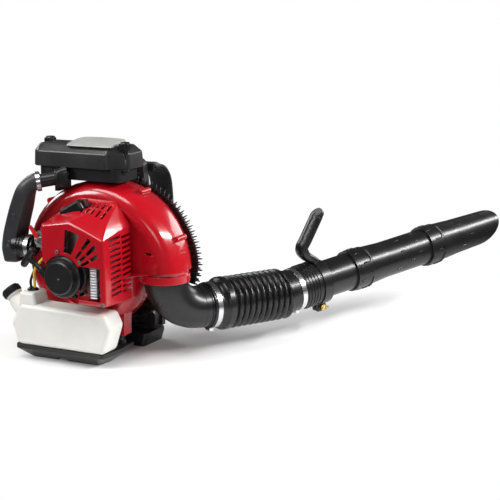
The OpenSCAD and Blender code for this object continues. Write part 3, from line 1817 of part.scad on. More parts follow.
module stop_switch() {
  color("red")
  on_arm()
    translate([-4.5, grip_y - 10, 114])
      cube([9, 10, 16]);
}

base_tray();
back_plate();
back_pad();
rubber_mounts();
fan_case_rear();
fan_case_front();
screws();
impeller();
crankshaft();
flywheel();
inlet_guard();
crankcase();
engine_cylinder();
piston();
connecting_rod();
spark_plug();
plug_boot();
ignition_coil();
muffler();
muffler_guard();
engine_cover();
starter_case();
starter_reel();
starter_grip();
starter_rope();
fuel_tank();
fuel_cap();
tank_grommet();
fuel_hoses();
carburettor();
intake_insulator();
choke_lever();
primer_bulb();
throttle_lever();
intake_duct();
duct_clamps();
air_cleaner_base();
filter_element();
air_cleaner_cover();
air_cleaner_lid();
cover_knob_left();
cover_knob_right();
elbow();
rear_hose_clamp();
bellows_hose();
front_hose_clamp();
hose_end();
swivel_pipe();
middle_pipe();
nozzle();
handle();
handle_bolt();
throttle_arm();
throttle_grip();
throttle_trigger();
stop_switch();
strap_left();
strap_right();
strap_hardware();
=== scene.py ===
"""Backpack leaf blower: finishes, soft parts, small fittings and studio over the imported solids."""
import json
import math

import bmesh
import bpy
import numpy as np
from bpy.props import FloatProperty, FloatVectorProperty, IntProperty, PointerProperty
from mathutils import Matrix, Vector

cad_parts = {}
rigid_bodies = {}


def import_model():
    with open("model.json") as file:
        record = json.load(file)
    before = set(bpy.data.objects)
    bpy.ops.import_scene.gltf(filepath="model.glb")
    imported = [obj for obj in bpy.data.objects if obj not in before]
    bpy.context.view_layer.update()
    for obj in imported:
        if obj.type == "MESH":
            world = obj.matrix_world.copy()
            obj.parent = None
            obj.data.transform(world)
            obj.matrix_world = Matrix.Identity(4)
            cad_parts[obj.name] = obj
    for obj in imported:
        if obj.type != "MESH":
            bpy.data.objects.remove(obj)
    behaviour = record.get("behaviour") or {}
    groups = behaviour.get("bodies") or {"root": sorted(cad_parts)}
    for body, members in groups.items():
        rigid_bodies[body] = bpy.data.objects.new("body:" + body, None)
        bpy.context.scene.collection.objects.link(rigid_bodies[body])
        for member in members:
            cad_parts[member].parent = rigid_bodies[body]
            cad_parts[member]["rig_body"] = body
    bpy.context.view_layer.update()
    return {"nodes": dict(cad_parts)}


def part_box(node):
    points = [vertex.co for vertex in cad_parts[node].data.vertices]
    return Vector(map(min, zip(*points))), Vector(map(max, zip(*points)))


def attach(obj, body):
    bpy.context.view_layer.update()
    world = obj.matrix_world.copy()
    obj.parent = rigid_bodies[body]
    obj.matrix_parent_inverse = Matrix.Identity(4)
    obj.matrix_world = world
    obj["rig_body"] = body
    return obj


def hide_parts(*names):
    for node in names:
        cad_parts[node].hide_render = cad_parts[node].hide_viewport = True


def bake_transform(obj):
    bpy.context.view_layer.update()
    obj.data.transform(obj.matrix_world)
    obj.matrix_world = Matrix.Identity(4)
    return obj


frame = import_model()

bl_info = {
    "name": "Backpack Blower",
    "version": (1, 0, 0),
    "blender": (4, 5, 0),
    "location": "3D Viewport > Sidebar > Blower",
    "description": "Dresses the solids of a backpack leaf blower and sets up its studio",
    "category": "Add Mesh",
}

NODES = frame["nodes"]

# ---------------------------------------------------------------- places, in metres

FAN_AXIS = np.array([0.026, 0.0, 0.209])  # x and z of the crankshaft
HOSE_AZ = math.radians(32)
TUBE_SLOPE = math.radians(8.3)
HOSE_DIR = np.array([math.sin(HOSE_AZ), math.cos(HOSE_AZ), 0.0])
TUBE_DIR = np.array([
    math.cos(TUBE_SLOPE) * math.sin(HOSE_AZ),
    math.cos(TUBE_SLOPE) * math.cos(HOSE_AZ),
    math.sin(TUBE_SLOPE)])
HOSE_START = np.array([0.186, -0.045, 0.110]) + 0.115 * HOSE_DIR
KINK = 0.202  # along the hose, where the tube's slope starts
RIBS_FROM, RIBS_LONG = 0.045, 0.157
TUBE_START = HOSE_START + KINK * HOSE_DIR
UP = np.array([0.0, 0.0, 1.0])
SMOOTH_ANGLE = 34  # degrees between faces, above which an edge is sharp


def unit(v):
    """v divided by its length, along the last axis."""
    v = np.asarray(v, float)
    return v / np.linalg.norm(v, axis=-1, keepdims=True)


def smoothstep(t):
    """t held in 0..1 and eased at both ends: t^2 (3 - 2t)."""
    t = np.clip(t, 0, 1)
    return t * t * (3 - 2 * t)


# ---------------------------------------------------------------- settings


def colour_setting(name, description, default):
    return FloatVectorProperty(name=name, description=description, subtype="COLOR", size=3,
                               min=0, max=1, default=default)


def length_setting(name, description, default, low, high):
    return FloatProperty(name=name, description=description, unit="LENGTH", default=default,
                         min=low, max=high)


class BlowerColours(bpy.types.PropertyGroup):
    """Colours of the blower's finishes."""

    red: colour_setting("Housing red", "Gloss red of the fan case and engine cover",
                        (0.45, 0.004, 0.012))
    black: colour_setting("Black plastic", "Moulded black of the frame, ducts and tube",
                          (0.013, 0.013, 0.014))
    tank: colour_setting("Tank white", "Milky white of the fuel tank", (0.80, 0.79, 0.74))
    lid: colour_setting("Lid grey", "Grey plate on top of the air cleaner", (0.36, 0.36, 0.35))
    fuel_line: colour_setting("Fuel line", "Yellow of the clear fuel line", (0.72, 0.42, 0.03))
    fabric: colour_setting("Harness black", "Black of the pad and straps", (0.016, 0.016, 0.018))
    lever: colour_setting("Lever red", "Red of the choke, trigger and stop switch",
                          (0.55, 0.012, 0.012))


class BlowerSizes(bpy.types.PropertyGroup):
    """Sizes of the pieces that are made here."""

    rib_count: IntProperty(
        name="Hose ribs", description="Ribs of the bellows hose", default=10, min=6, max=14)
    rib_radius: length_setting("Rib radius", "Outer radius of a rib", 0.061, 0.055, 0.064)
    rib_depth: length_setting("Rib depth", "Depth of the groove between two ribs",
                              0.0085, 0.004, 0.012)
    pad_swell: length_setting("Pad swell", "Farthest that the foam pad may swell",
                              0.005, 0.001, 0.01)
    strap_width: length_setting("Strap width", "Width of a padded shoulder strap",
                                0.058, 0.04, 0.064)
    web_width: length_setting("Webbing width", "Width of the webbing", 0.026, 0.018, 0.03)
    fuel_line_radius: length_setting("Fuel line radius", "Outer radius of a fuel line",
                                     0.003, 0.002, 0.004)


def colours():
    return bpy.context.scene.blower_colours


def sizes():
    return bpy.context.scene.blower_sizes


# ---------------------------------------------------------------- shader groups


def group(name, inputs, outputs):
    """An empty shader group with named sockets: (name, kind, default)."""
    tree = bpy.data.node_groups.new(name, "ShaderNodeTree")
    for label, kind, value in (("Vector", "NodeSocketVector", None), *inputs):
        socket = tree.interface.new_socket(name=label, in_out="INPUT", socket_type=kind)
        if value is not None:
            socket.default_value = value
    for label, kind in outputs:
        tree.interface.new_socket(name=label, in_out="OUTPUT", socket_type=kind)
    return tree, tree.nodes.new("NodeGroupInput").outputs, tree.nodes.new("NodeGroupOutput").inputs


def feed(tree, socket, value):
    """Links an input to another node's output, or sets it to a constant."""
    if isinstance(value, bpy.types.NodeSocket):
        tree.links.new(value, socket)
    else:
        socket.default_value = value


def add_node(tree, kind, settings=None, **inputs):
    """A shader node with its settings, whose inputs, by name or place, are fed."""
    node = tree.nodes.new(kind)
    for key, value in (settings or {}).items():
        setattr(node, key, value)
    for key, value in inputs.items():
        feed(tree, node.inputs[int(key[1:]) if key[0] == "_" else key.replace("_", " ")], value)
    return node


def math_node(tree, operation, *values, clamp=False):
    """A Math node whose inputs are sockets or numbers; returns its output."""
    node = add_node(tree, "ShaderNodeMath", {"operation": operation, "use_clamp": clamp})
    for socket, value in zip(node.inputs, values):
        feed(tree, socket, value)
    return node.outputs[0]


def noise_node(tree, vector, scale, detail=3.0, rough=0.5):
    return add_node(tree, "ShaderNodeTexNoise", Detail=detail, Roughness=rough, Scale=scale,
                    Vector=vector).outputs["Fac"]


def make_grain_group():
    """Moulded grain: fine noise as a height, and a broad slow noise as a mask."""
    tree, given, out = group(
        "Moulded Grain", [("Scale", "NodeSocketFloat", 1500.0)],
        [("Height", "NodeSocketFloat"), ("Mottle", "NodeSocketFloat")])
    feed(tree, out["Height"], noise_node(tree, given["Vector"], given["Scale"], 2.0, 0.6))
    feed(tree, out["Mottle"], noise_node(tree, given["Vector"], 22.0, 4.0, 0.55))


def make_edge_group():
    """Rounded edges: the normal of a small bevel, and a mask where it turns away from the face."""
    tree, given, out = group(
        "Rounded Edge", [("Radius", "NodeSocketFloat", 0.0009)],
        [("Normal", "NodeSocketVector"), ("Edge", "NodeSocketFloat")])
    bevel = add_node(tree, "ShaderNodeBevel", {"samples": 4}, Radius=given["Radius"])
    face = add_node(tree, "ShaderNodeNewGeometry")
    dot = add_node(tree, "ShaderNodeVectorMath", {"operation": "DOT_PRODUCT"},
                   _0=bevel.outputs[0], _1=face.outputs["Normal"])
    turned = math_node(tree, "SUBTRACT", 1.0, dot.outputs["Value"], clamp=True)
    broken = noise_node(tree, given["Vector"], 160.0, 5.0, 0.65)
    wear = math_node(tree, "MULTIPLY", math_node(tree, "MULTIPLY", turned, 6.0), broken, clamp=True)
    feed(tree, out["Normal"], bevel.outputs[0])
    feed(tree, out["Edge"], wear)


def make_dust_group():
    """Dust: a mask of faces that look up, broken by a noise."""
    tree, given, out = group("Settled Dust", [("Amount", "NodeSocketFloat", 0.1)],
                             [("Mask", "NodeSocketFloat")])
    face = add_node(tree, "ShaderNodeNewGeometry")
    split = add_node(tree, "ShaderNodeSeparateXYZ", _0=face.outputs["Normal"])
    upward = math_node(tree, "MULTIPLY_ADD", split.outputs["Z"], 0.7, 0.25, clamp=True)
    patch = noise_node(tree, given["Vector"], 30.0, 6.0, 0.7)
    feed(tree, out["Mask"], math_node(tree, "MULTIPLY", math_node(tree, "MULTIPLY", upward, patch),
                                      given["Amount"], clamp=True))


def make_weave_group():
    """Plain weave: two crossed sine waves of the coordinates, one for each yarn direction."""
    tree, given, out = group(
        "Plain Weave", [("Pitch", "NodeSocketFloat", 0.0012)],
        [("Height", "NodeSocketFloat"), ("Yarn", "NodeSocketFloat")])
    split = add_node(tree, "ShaderNodeSeparateXYZ", _0=given["Vector"])
    waves = []
    for axis in ("X", "Y"):
        turns = math_node(tree, "DIVIDE", split.outputs[axis], given["Pitch"])
        waves.append(math_node(tree, "SINE", math_node(tree, "MULTIPLY", turns, math.tau)))
    product = math_node(tree, "MULTIPLY", *waves)
    feed(tree, out["Height"], math_node(tree, "MULTIPLY_ADD", product, 0.5, 0.5))
    feed(tree, out["Yarn"], noise_node(tree, given["Vector"], 700.0, 3.0, 0.6))


# ---------------------------------------------------------------- materials

DUST = (0.42, 0.40, 0.37)


def place_group(tree, name, vector, **values):
    """A group node in a material, fed by a vector; values name its other inputs."""
    return add_node(tree, "ShaderNodeGroup", {"node_tree": bpy.data.node_groups[name]},
                    Vector=vector, **values).outputs


def mix_colour(tree, mask, a, b):
    """Colour a where the mask is 0 and b where it is 1; a and b are sockets or colours."""
    a, b = (v if hasattr(v, "links") else (*v[:3], 1.0) for v in (a, b))
    return add_node(tree, "ShaderNodeMix", {"data_type": "RGBA"}, _0=mask, _6=a, _7=b).outputs[2]


def spread(tree, value, low, high):
    """Maps a noise's usual range, 0.25..0.75, to low..high."""
    return add_node(tree, "ShaderNodeMapRange", From_Min=0.25, From_Max=0.75, To_Min=low,
                    To_Max=high, Value=value).outputs["Result"]


def start_material(name):
    material = bpy.data.materials.new(name)
    material.use_nodes = True
    tree = material.node_tree
    tree.nodes.clear()
    shader = add_node(tree, "ShaderNodeBsdfPrincipled")
    add_node(tree, "ShaderNodeOutputMaterial", Surface=shader.outputs[0])
    return material, tree, shader, add_node(tree, "ShaderNodeTexCoord").outputs


def moulded(name, colour, rough, grain=1500.0, depth=0.00004, coat=0.0, metal=0.0, dust=0.12,
            wear=0.35, wear_colour=None, shift=0.12, edge=0.0009):
    """A moulded, cast or painted finish: mottled colour, grain, rounded worn edges and dust."""
    material, tree, shader, where = start_material(name)
    colour = np.array(colour[:3])
    grain_out = place_group(tree, "Moulded Grain", where["Object"], Scale=grain)
    dust_mask = place_group(tree, "Settled Dust", where["Object"], Amount=dust)["Mask"]
    base = mix_colour(tree, spread(tree, grain_out["Mottle"], 0.0, 1.0),
                      colour * (1 - shift), np.minimum(colour * (1 + shift), 1))
    bump = add_node(tree, "ShaderNodeBump", Strength=1.0, Distance=depth,
                    Height=grain_out["Height"])
    if edge:
        edge_out = place_group(tree, "Rounded Edge", where["Object"], Radius=edge)
        worn = colour * 1.5 + 0.02 if wear_colour is None else np.array(wear_colour)
        mask = math_node(tree, "MULTIPLY", edge_out["Edge"], wear)
        base = mix_colour(tree, mask, base, np.minimum(worn, 1))
        feed(tree, bump.inputs["Normal"], edge_out["Normal"])
    rough_out = spread(tree, grain_out["Mottle"], rough * 0.88, min(rough * 1.14, 1))
    rough_out = math_node(tree, "ADD", rough_out, math_node(tree, "MULTIPLY", dust_mask, 0.6),
                          clamp=True)
    for label, value in (("Base Color", mix_colour(tree, dust_mask, base, DUST)),
                         ("Roughness", rough_out), ("Normal", bump.outputs["Normal"]),
                         ("Metallic", metal), ("Coat Weight", coat), ("Coat Roughness", 0.06)):
        feed(tree, shader.inputs[label], value)
    return material


def woven(name, colour, pitch, depth, vector="Object", turn=(0, 0, 0), rough=0.85):
    """A cloth finish: a plain weave on the piece's own UV map, or on its object coordinates."""
    material, tree, shader, where = start_material(name)
    place = where[vector]
    if any(turn):
        place = add_node(tree, "ShaderNodeMapping", Rotation=turn, Vector=place).outputs["Vector"]
    weave = place_group(tree, "Plain Weave", place, Pitch=pitch)
    mottle = place_group(tree, "Moulded Grain", where["Object"], Scale=900.0)["Mottle"]
    colour = np.array(colour[:3])
    base = mix_colour(tree, weave["Height"], colour * 0.45, colour * 1.5)
    base = mix_colour(tree, spread(tree, weave["Yarn"], 0.0, 0.35), base, colour * 2.4)
    dust_mask = place_group(tree, "Settled Dust", where["Object"], Amount=0.15)["Mask"]
    bump = add_node(tree, "ShaderNodeBump", Distance=depth, Height=weave["Height"])
    for label, value in (("Base Color", mix_colour(tree, dust_mask, base, DUST)),
                         ("Normal", bump.outputs["Normal"]),
                         ("Roughness", spread(tree, mottle, rough - 0.06, rough + 0.06)),
                         ("Sheen Weight", 0.25), ("Sheen Roughness", 0.4)):
        feed(tree, shader.inputs[label], value)
    return material


def make_tank_plastic(name, colour):
    """Milky blow-moulded plastic: light passes a little way in, and the wall is slightly uneven."""
    material = moulded(name, colour, 0.34, grain=420.0, depth=0.00005, dust=0.03, wear=0.15,
                       wear_colour=(0.9, 0.9, 0.88), shift=0.03)
    shader = next(n for n in material.node_tree.nodes if n.type == "BSDF_PRINCIPLED")
    shader.inputs["Subsurface Weight"].default_value = 0.35
    shader.inputs["Subsurface Radius"].default_value = (1.0, 0.9, 0.75)
    shader.inputs["Subsurface Scale"].default_value = 0.008
    return material


MATERIALS = {}


def make_materials():
    """Every finish of the blower, by name."""
    c = colours()
    for make in (make_grain_group, make_edge_group, make_dust_group, make_weave_group):
        make()
    black, fabric = np.array(c.black), np.array(c.fabric)
    m = MATERIALS
    m["red"] = moulded("gloss_red", c.red, 0.20, grain=260.0, depth=0.00002, coat=0.5, dust=0.0,
                       wear=0.06, shift=0.05, edge=0.0024)
    m["black"] = moulded("black_plastic", black * 0.8, 0.32, depth=0.00002, dust=0.008)
    m["rough_black"] = moulded("rough_black_plastic", black, 0.46, grain=1100.0,
                               depth=0.00009, dust=0.03)
    m["tube"] = moulded("tube_black", black * 0.6, 0.29, grain=1700.0, depth=0.000008, dust=0.002)
    m["rubber"] = moulded("black_rubber", black * 0.6, 0.27, grain=800.0, depth=0.000012,
                          dust=0.004, wear=0.2, edge=0.0)
    m["air_black"] = moulded("air_cleaner_black", black * 1.5, 0.30, grain=1900.0,
                             depth=0.000015, dust=0.01, edge=0.002)
    m["duct_black"] = moulded("duct_black", black * 2.4, 0.38, grain=1500.0, depth=0.00004,
                              dust=0.02, edge=0.002)
    m["lid"] = moulded("lid_grey", c.lid, 0.36, dust=0.05)
    m["tank"] = make_tank_plastic("tank_plastic", c.tank)
    m["alloy"] = moulded("cast_alloy", (0.55, 0.55, 0.56), 0.42, grain=900.0, depth=0.00014,
                         metal=1.0, dust=0.10, wear_colour=(0.8, 0.8, 0.8))
    m["steel"] = moulded("bright_steel", (0.72, 0.72, 0.74), 0.24, grain=500.0, depth=0.00003,
                         metal=1.0, dust=0.02, wear_colour=(0.9, 0.9, 0.9), shift=0.06)
    m["iron"] = moulded("dark_iron", (0.20, 0.19, 0.18), 0.5, grain=700.0, depth=0.0001,
                        metal=0.8, dust=0.15)
    m["muffler"] = moulded("muffler_black", (0.055, 0.045, 0.040), 0.5, grain=600.0,
                           depth=0.0001, metal=0.5, dust=0.15)
    m["brass"] = moulded("brass", (0.70, 0.47, 0.16), 0.28, grain=600.0, depth=0.00003,
                         metal=1.0, dust=0.05, wear_colour=(0.9, 0.75, 0.4))
    m["fuel_line"] = moulded("fuel_line", c.fuel_line, 0.22, grain=400.0, depth=0.00002,
                             coat=0.4, dust=0.02, edge=0.0)
    m["lever"] = moulded("lever_red", c.lever, 0.32, dust=0.05)
    m["paper"] = moulded("filter_paper", (0.62, 0.55, 0.33), 0.85, grain=700.0, depth=0.0002,
                         dust=0.2)
    m["ceramic"] = moulded("ceramic", (0.80, 0.80, 0.77), 0.15, dust=0.03, shift=0.02)
    m["rope"] = moulded("rope_yarn", (0.60, 0.58, 0.52), 0.8, grain=1400.0, depth=0.0002,
                        dust=0.1, edge=0.0)
    m["pad"] = woven("pad_mesh", c.fabric, 0.0022, 0.0006, turn=(math.radians(90), 0, 0))
    m["web"] = woven("webbing", fabric * 0.9, 0.0016, 0.0005, vector="UV")
    m["strap"] = woven("strap_cloth", c.fabric, 0.0020, 0.0005, vector="UV")
    m["binding"] = woven("binding_tape", fabric * 0.8, 0.0010, 0.0003)
    m["thread"] = moulded("thread", (0.05, 0.05, 0.053), 0.7, grain=2600.0, depth=0.0001,
                          dust=0.1, edge=0.0)


# ---------------------------------------------------------------- mesh helpers


def new_piece(name, mesh, material):
    piece = bpy.data.objects.new(name, mesh)
    bpy.context.scene.collection.objects.link(piece)
    mesh.materials.clear()
    mesh.materials.append(MATERIALS[material])
    return piece


def mesh_from(name, points, faces, smooth=True):
    """A mesh from arrays of points and of quads (a repeated corner makes a triangle)."""
    mesh = bpy.data.meshes.new(name)
    mesh.from_pydata(np.asarray(points).tolist(), [],
                     [list(dict.fromkeys(f)) for f in np.asarray(faces).tolist()])
    mesh.update()
    mesh.polygons.foreach_set("use_smooth", np.full(len(mesh.polygons), smooth))
    return mesh


def outward(mesh):
    """Turns a closed mesh's faces outwards."""
    shape = bmesh.new()
    shape.from_mesh(mesh)
    bmesh.ops.recalc_face_normals(shape, faces=shape.faces)
    shape.to_mesh(mesh)
    shape.free()


def closed_piece(name, points, faces, material, sharp=None):
    """A piece with its faces turned outwards, and its edges sharp above the angle sharp."""
    mesh = mesh_from(name, points, faces)
    outward(mesh)
    if sharp:
        mesh.set_sharp_from_angle(angle=math.radians(sharp))
    return new_piece(name, mesh, material)


def joined(shapes):
    """Points and faces of several shapes, each (points, faces), as one."""
    points, faces, count = [], [], 0
    for p, f in shapes:
        points.append(p)
        faces.append(f + count)
        count += len(p)
    return np.vstack(points), np.vstack(faces)


def grid_faces(rows, cols, wrap_rows=False, wrap_cols=False):
    """Quads of a rows by cols grid of points, numbered row by row."""
    r = np.arange(rows if wrap_rows else rows - 1)
    c = np.arange(cols if wrap_cols else cols - 1)
    i, j = np.meshgrid(r, c, indexing="ij")
    i2, j2 = (i + 1) % rows, (j + 1) % cols
    quads = np.stack([i * cols + j, i * cols + j2, i2 * cols + j2, i2 * cols + j], -1)
    return quads.reshape(-1, 4)


def turns(count):
    """Angles of count even steps round a full turn."""
    return np.linspace(0, math.tau, count, endpoint=False)


def circles(count, e1, e2):
    """At each station, count directions round it: cos(a) e1 + sin(a) e2."""
    a = turns(count)
    return np.cos(a)[None, :, None] * e1[:, None] + np.sin(a)[None, :, None] * e2[:, None]


def superellipse(a, power):
    """Radius at the angle a of |x|^p + |y|^p = 1, with p the power."""
    return (np.abs(np.cos(a)) ** power + np.abs(np.sin(a)) ** power) ** (-1 / power)


def soft_sections(line, e1, e2, half1, half2, power, sides):
    """Superellipse sections at the stations of a line, from their half widths along e1 and e2;
    power, half widths and directions may each differ from station to station."""
    a = turns(sides)
    m = superellipse(a[None], np.reshape(power, (-1, 1)))
    return (line[:, None]
            + (np.reshape(half1, (-1, 1)) * m * np.cos(a))[..., None] * np.reshape(e1, (-1, 1, 3))
            + (np.reshape(half2, (-1, 1)) * m * np.sin(a))[..., None] * np.reshape(e2, (-1, 1, 3)))


def run_along(line):
    """Length along a line up to each of its points."""
    return np.concatenate([[0], np.cumsum(np.linalg.norm(np.diff(line, axis=0), axis=1))])


def curve_through(points, count):
    """Catmull-Rom curve through the points, sampled evenly by length at count places."""
    p = np.asarray(points, float)
    q = np.vstack([2 * p[0] - p[1], p, 2 * p[-1] - p[-2]])
    u = np.linspace(0, len(p) - 1 - 1e-9, 40 * len(p))
    i = u.astype(int)
    f = (u - i)[:, None]
    a, b, c, d = q[i], q[i + 1], q[i + 2], q[i + 3]
    line = 0.5 * (2 * b + (c - a) * f + (2 * a - 5 * b + 4 * c - d) * f ** 2
                  + (3 * b - a - 3 * c + d) * f ** 3)
    run = run_along(line)
    at = np.linspace(0, run[-1], count)
    return np.stack([np.interp(at, run, line[:, k]) for k in range(3)], -1), at


def frames_along(line, side):
    """Directions along a line, across it near the given side, and the third."""
    along = unit(np.gradient(line, axis=0))
    across = unit(side - (along @ np.asarray(side, float))[:, None] * along)
    return along, across, np.cross(along, across)


def closed_tube(sections):
    """Points and faces of a tube from (rings, sides, 3) sections, with a fan cap at each end."""
    rings, sides, _ = sections.shape
    points = sections.reshape(-1, 3)
    faces = grid_faces(rings, sides, wrap_cols=True)
    ends = np.stack([sections[0].mean(0), sections[-1].mean(0)])
    n = len(points)
    j = np.arange(sides)
    k = (j + 1) % sides
    last = (rings - 1) * sides
    caps = np.concatenate([
        np.stack([k, j, np.full(sides, n), np.full(sides, n)], -1),
        np.stack([last + j, last + k, np.full(sides, n + 1), np.full(sides, n + 1)], -1)])
    return np.vstack([points, ends]), np.vstack([faces, caps])


def tube_piece(name, route, radius, material, sides=16, count=60, side=(0, 1, 0)):
    """A round tube of the given radius along a smooth route."""
    line, _ = curve_through(route, count)
    _, e1, e2 = frames_along(line, side)
    return closed_piece(name, *closed_tube(line[:, None] + radius * circles(sides, e1, e2)),
                        material)


def revolve(profile, origin, axis, side, segments=48):
    """Points and faces of a closed surface of revolution: profile rows are (radius, place along
    the axis), and its two ends lie on the axis or are joined by closing the loop."""
    axis, side = unit(axis), unit(side)
    third = np.cross(axis, side)
    a = turns(segments)
    r, z = np.asarray(profile, float).T
    ring = np.cos(a)[:, None] * side + np.sin(a)[:, None] * third
    points = (np.asarray(origin) + z[None, :, None] * axis + r[None, :, None] * ring[:, None])
    return points.reshape(-1, 3), grid_faces(segments, len(r), wrap_rows=True)


def even_normals(piece):
    """Shades a piece by its larger faces."""
    even = piece.modifiers.new("even_normals", "WEIGHTED_NORMAL")
    even.keep_sharp = True


def smooth_copy(node, name, material, angle=SMOOTH_ANGLE):
    """The node's own form with its loose triangles merged and shaded smooth up to an angle."""
    source = NODES[node]
    shape = bmesh.new()
    shape.from_mesh(source.data)
    bmesh.ops.remove_doubles(shape, verts=shape.verts, dist=2e-5)
    mesh = bpy.data.meshes.new(name)
    shape.to_mesh(mesh)
    shape.free()
    if "custom_normal" in mesh.attributes:
        mesh.attributes.remove(mesh.attributes["custom_normal"])
    mesh.polygons.foreach_set("use_smooth", np.full(len(mesh.polygons), True))
    mesh.set_sharp_from_angle(angle=math.radians(angle))
    piece = new_piece(name, mesh, material)
    even_normals(piece)
    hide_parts(node)
    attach(piece, source["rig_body"])
    return piece


def dress(material, *nodes):
    """Gives CAD nodes a finish."""
    for node in nodes:
        mesh = NODES[node].data
        mesh.materials.clear()
        mesh.materials.append(MATERIALS[material])


# ---------------------------------------------------------------- bellows hose

HOSE_SIDES = 96
HOSE_ROWS = 150  # in each of the two stretches
CUFF_RADIUS, CUFF_BORE = 0.0521, 0.0489
CUFF_LAP = 0.012  # that the hose covers of the pipe at each end


def hose_frame(s):
    """Centre and directions of the hose at s metres: straight along the elbow's end, then a
    smooth turn to the tube's slope over the last ribs."""
    centre = np.where((s < KINK)[:, None], HOSE_START + s[:, None] * HOSE_DIR,
                      TUBE_START + (s - KINK)[:, None] * TUBE_DIR)
    t = smoothstep((s - (KINK - 0.030)) / 0.035)[:, None]
    along = unit((1 - t) * HOSE_DIR + t * TUBE_DIR)
    across = unit(np.cross(along, UP))
    return centre, across, np.cross(across, along)


def bellows_radius(s):
    """Outer radius of the hose: a plain cuff, a round shoulder, and ribs whose height is a raised
    cosine to a small power, so that the crowns are round and the grooves narrow."""
    z = sizes()
    low = z.rib_radius - z.rib_depth
    wave = (0.5 - 0.5 * np.cos((s - RIBS_FROM) / RIBS_LONG * z.rib_count * math.tau)) ** 0.55
    ribs = low + z.rib_depth * wave
    cuff = CUFF_RADIUS + 0.0010 * np.exp(-((s + 0.0112) / 0.0012) ** 2)
    up, down = smoothstep((s - 0.0115) / 0.014), smoothstep((s - 0.0370) / 0.008)
    shoulder = cuff + (z.rib_radius + 0.0006 - cuff) * up - (z.rib_depth + 0.0006) * down
    return np.where(s < RIBS_FROM, shoulder, np.where(s > RIBS_FROM + RIBS_LONG, low, ribs))


def bellows_part(name, s0, s1):
    """One stretch of the hose: outer skin, and back along an inner skin 1.8 mm below it."""
    s = np.linspace(s0, s1, HOSE_ROWS)
    r = bellows_radius(s)
    inner = np.minimum(r - 0.0018, np.where(s < CUFF_LAP, CUFF_BORE, r))
    s_loop = np.concatenate([s, s[::-1]])
    r_loop = np.concatenate([r, inner[::-1]])
    centre, e1, e2 = hose_frame(s_loop)
    points = centre[:, None] + r_loop[:, None, None] * circles(HOSE_SIDES, e1, e2)
    faces = grid_faces(len(s_loop), HOSE_SIDES, wrap_rows=True, wrap_cols=True)
    return closed_piece(name, points.reshape(-1, 3), faces, "rubber")


class BLOWER_OT_bellows(bpy.types.Operator):
    """Ribbed rubber hose in two stretches, split halfway along its ribs"""

    bl_idname = "blower.bellows"
    bl_label = "Bellows hose"

    def execute(self, context):
        middle = RIBS_FROM + RIBS_LONG * (sizes().rib_count // 2) / sizes().rib_count
        rear = bellows_part("bellows_rear", -CUFF_LAP, middle)
        front = bellows_part("bellows_front", middle, KINK + CUFF_LAP)
        on = lambda s: tuple(HOSE_START + s * HOSE_DIR)
        for piece, bodies, start, end in (
                (rear, ("frame", "hose"), on(0.062), on(0.122)),
                (front, ("hose", "hose_end"), on(0.126), on(0.184))):
            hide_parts("bellows_hose")
            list(bodies)
            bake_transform(piece)
            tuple(start)
            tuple(end)
        return {"FINISHED"}


# ---------------------------------------------------------------- back pad

PAD_ROWS, PAD_COLS = 61, 41
PAD_EDGE = 0.010  # height of the pad's edge off the back plate
PIPING_RADIUS = 0.0024
VOXEL = 0.005
CLOTH_FRAMES = 20


def pad_box():
    """Low and high corners of the back pad."""
    return tuple(np.array(p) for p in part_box("back_pad"))


def pad_half_width(half, v):
    """Half width of the pad at the height v, -1..1: drawn in at the middle and the ends."""
    return half * (1 - 0.1 * np.abs(v) ** 4) - 0.005 * np.cos(v * math.pi / 2) ** 2


def pad_surface(swell):
    """Closed cushion form in the pad's box: front dome height over (u, v) is a product of two
    rounded falls; the back is flat and drawn in."""
    low, high = pad_box()
    cx, half = (low[0] + high[0]) / 2, (high[0] - low[0]) / 2
    v, u = np.meshgrid(np.linspace(-1, 1, PAD_ROWS), np.linspace(-1, 1, PAD_COLS), indexing="ij")
    depth = high[1] - low[1]
    dome = (np.clip(1 - np.abs(u) ** 2.6, 0, 1) ** 0.5) * (np.clip(1 - np.abs(v) ** 5, 0, 1) ** 0.5)
    x = cx + (pad_half_width(half, v) - swell) * u
    z = low[2] + swell + (high[2] - low[2] - 2 * swell) * (v + 1) / 2
    front = low[1] + PAD_EDGE + (depth - 0.012 - swell) * dome
    back = low[1] + 0.0006 + 0.004 * (1 - np.clip(1 - np.maximum(np.abs(u), np.abs(v)) ** 6, 0, 1))
    return x, z, front, back


def pad_channels(x, z):
    """Depth share of the sewn channels at (x, z): one upright and three level grooves."""
    low, high = pad_box()
    v = (z - low[2]) / (high[2] - low[2]) * 2 - 1
    u = x / ((high[0] - low[0]) / 2)
    level = sum(np.exp(-((v - c) / 0.040) ** 2) for c in (-0.5, 0.0, 0.5))
    return np.maximum(0.36 * np.exp(-(u / 0.055) ** 2), 0.40 * np.clip(level, 0, 1))


def points_of(mesh):
    """A copy of a mesh's points, as rows."""
    points = np.empty(len(mesh.vertices) * 3, np.float32)
    mesh.vertices.foreach_get("co", points)
    return points.reshape(-1, 3)


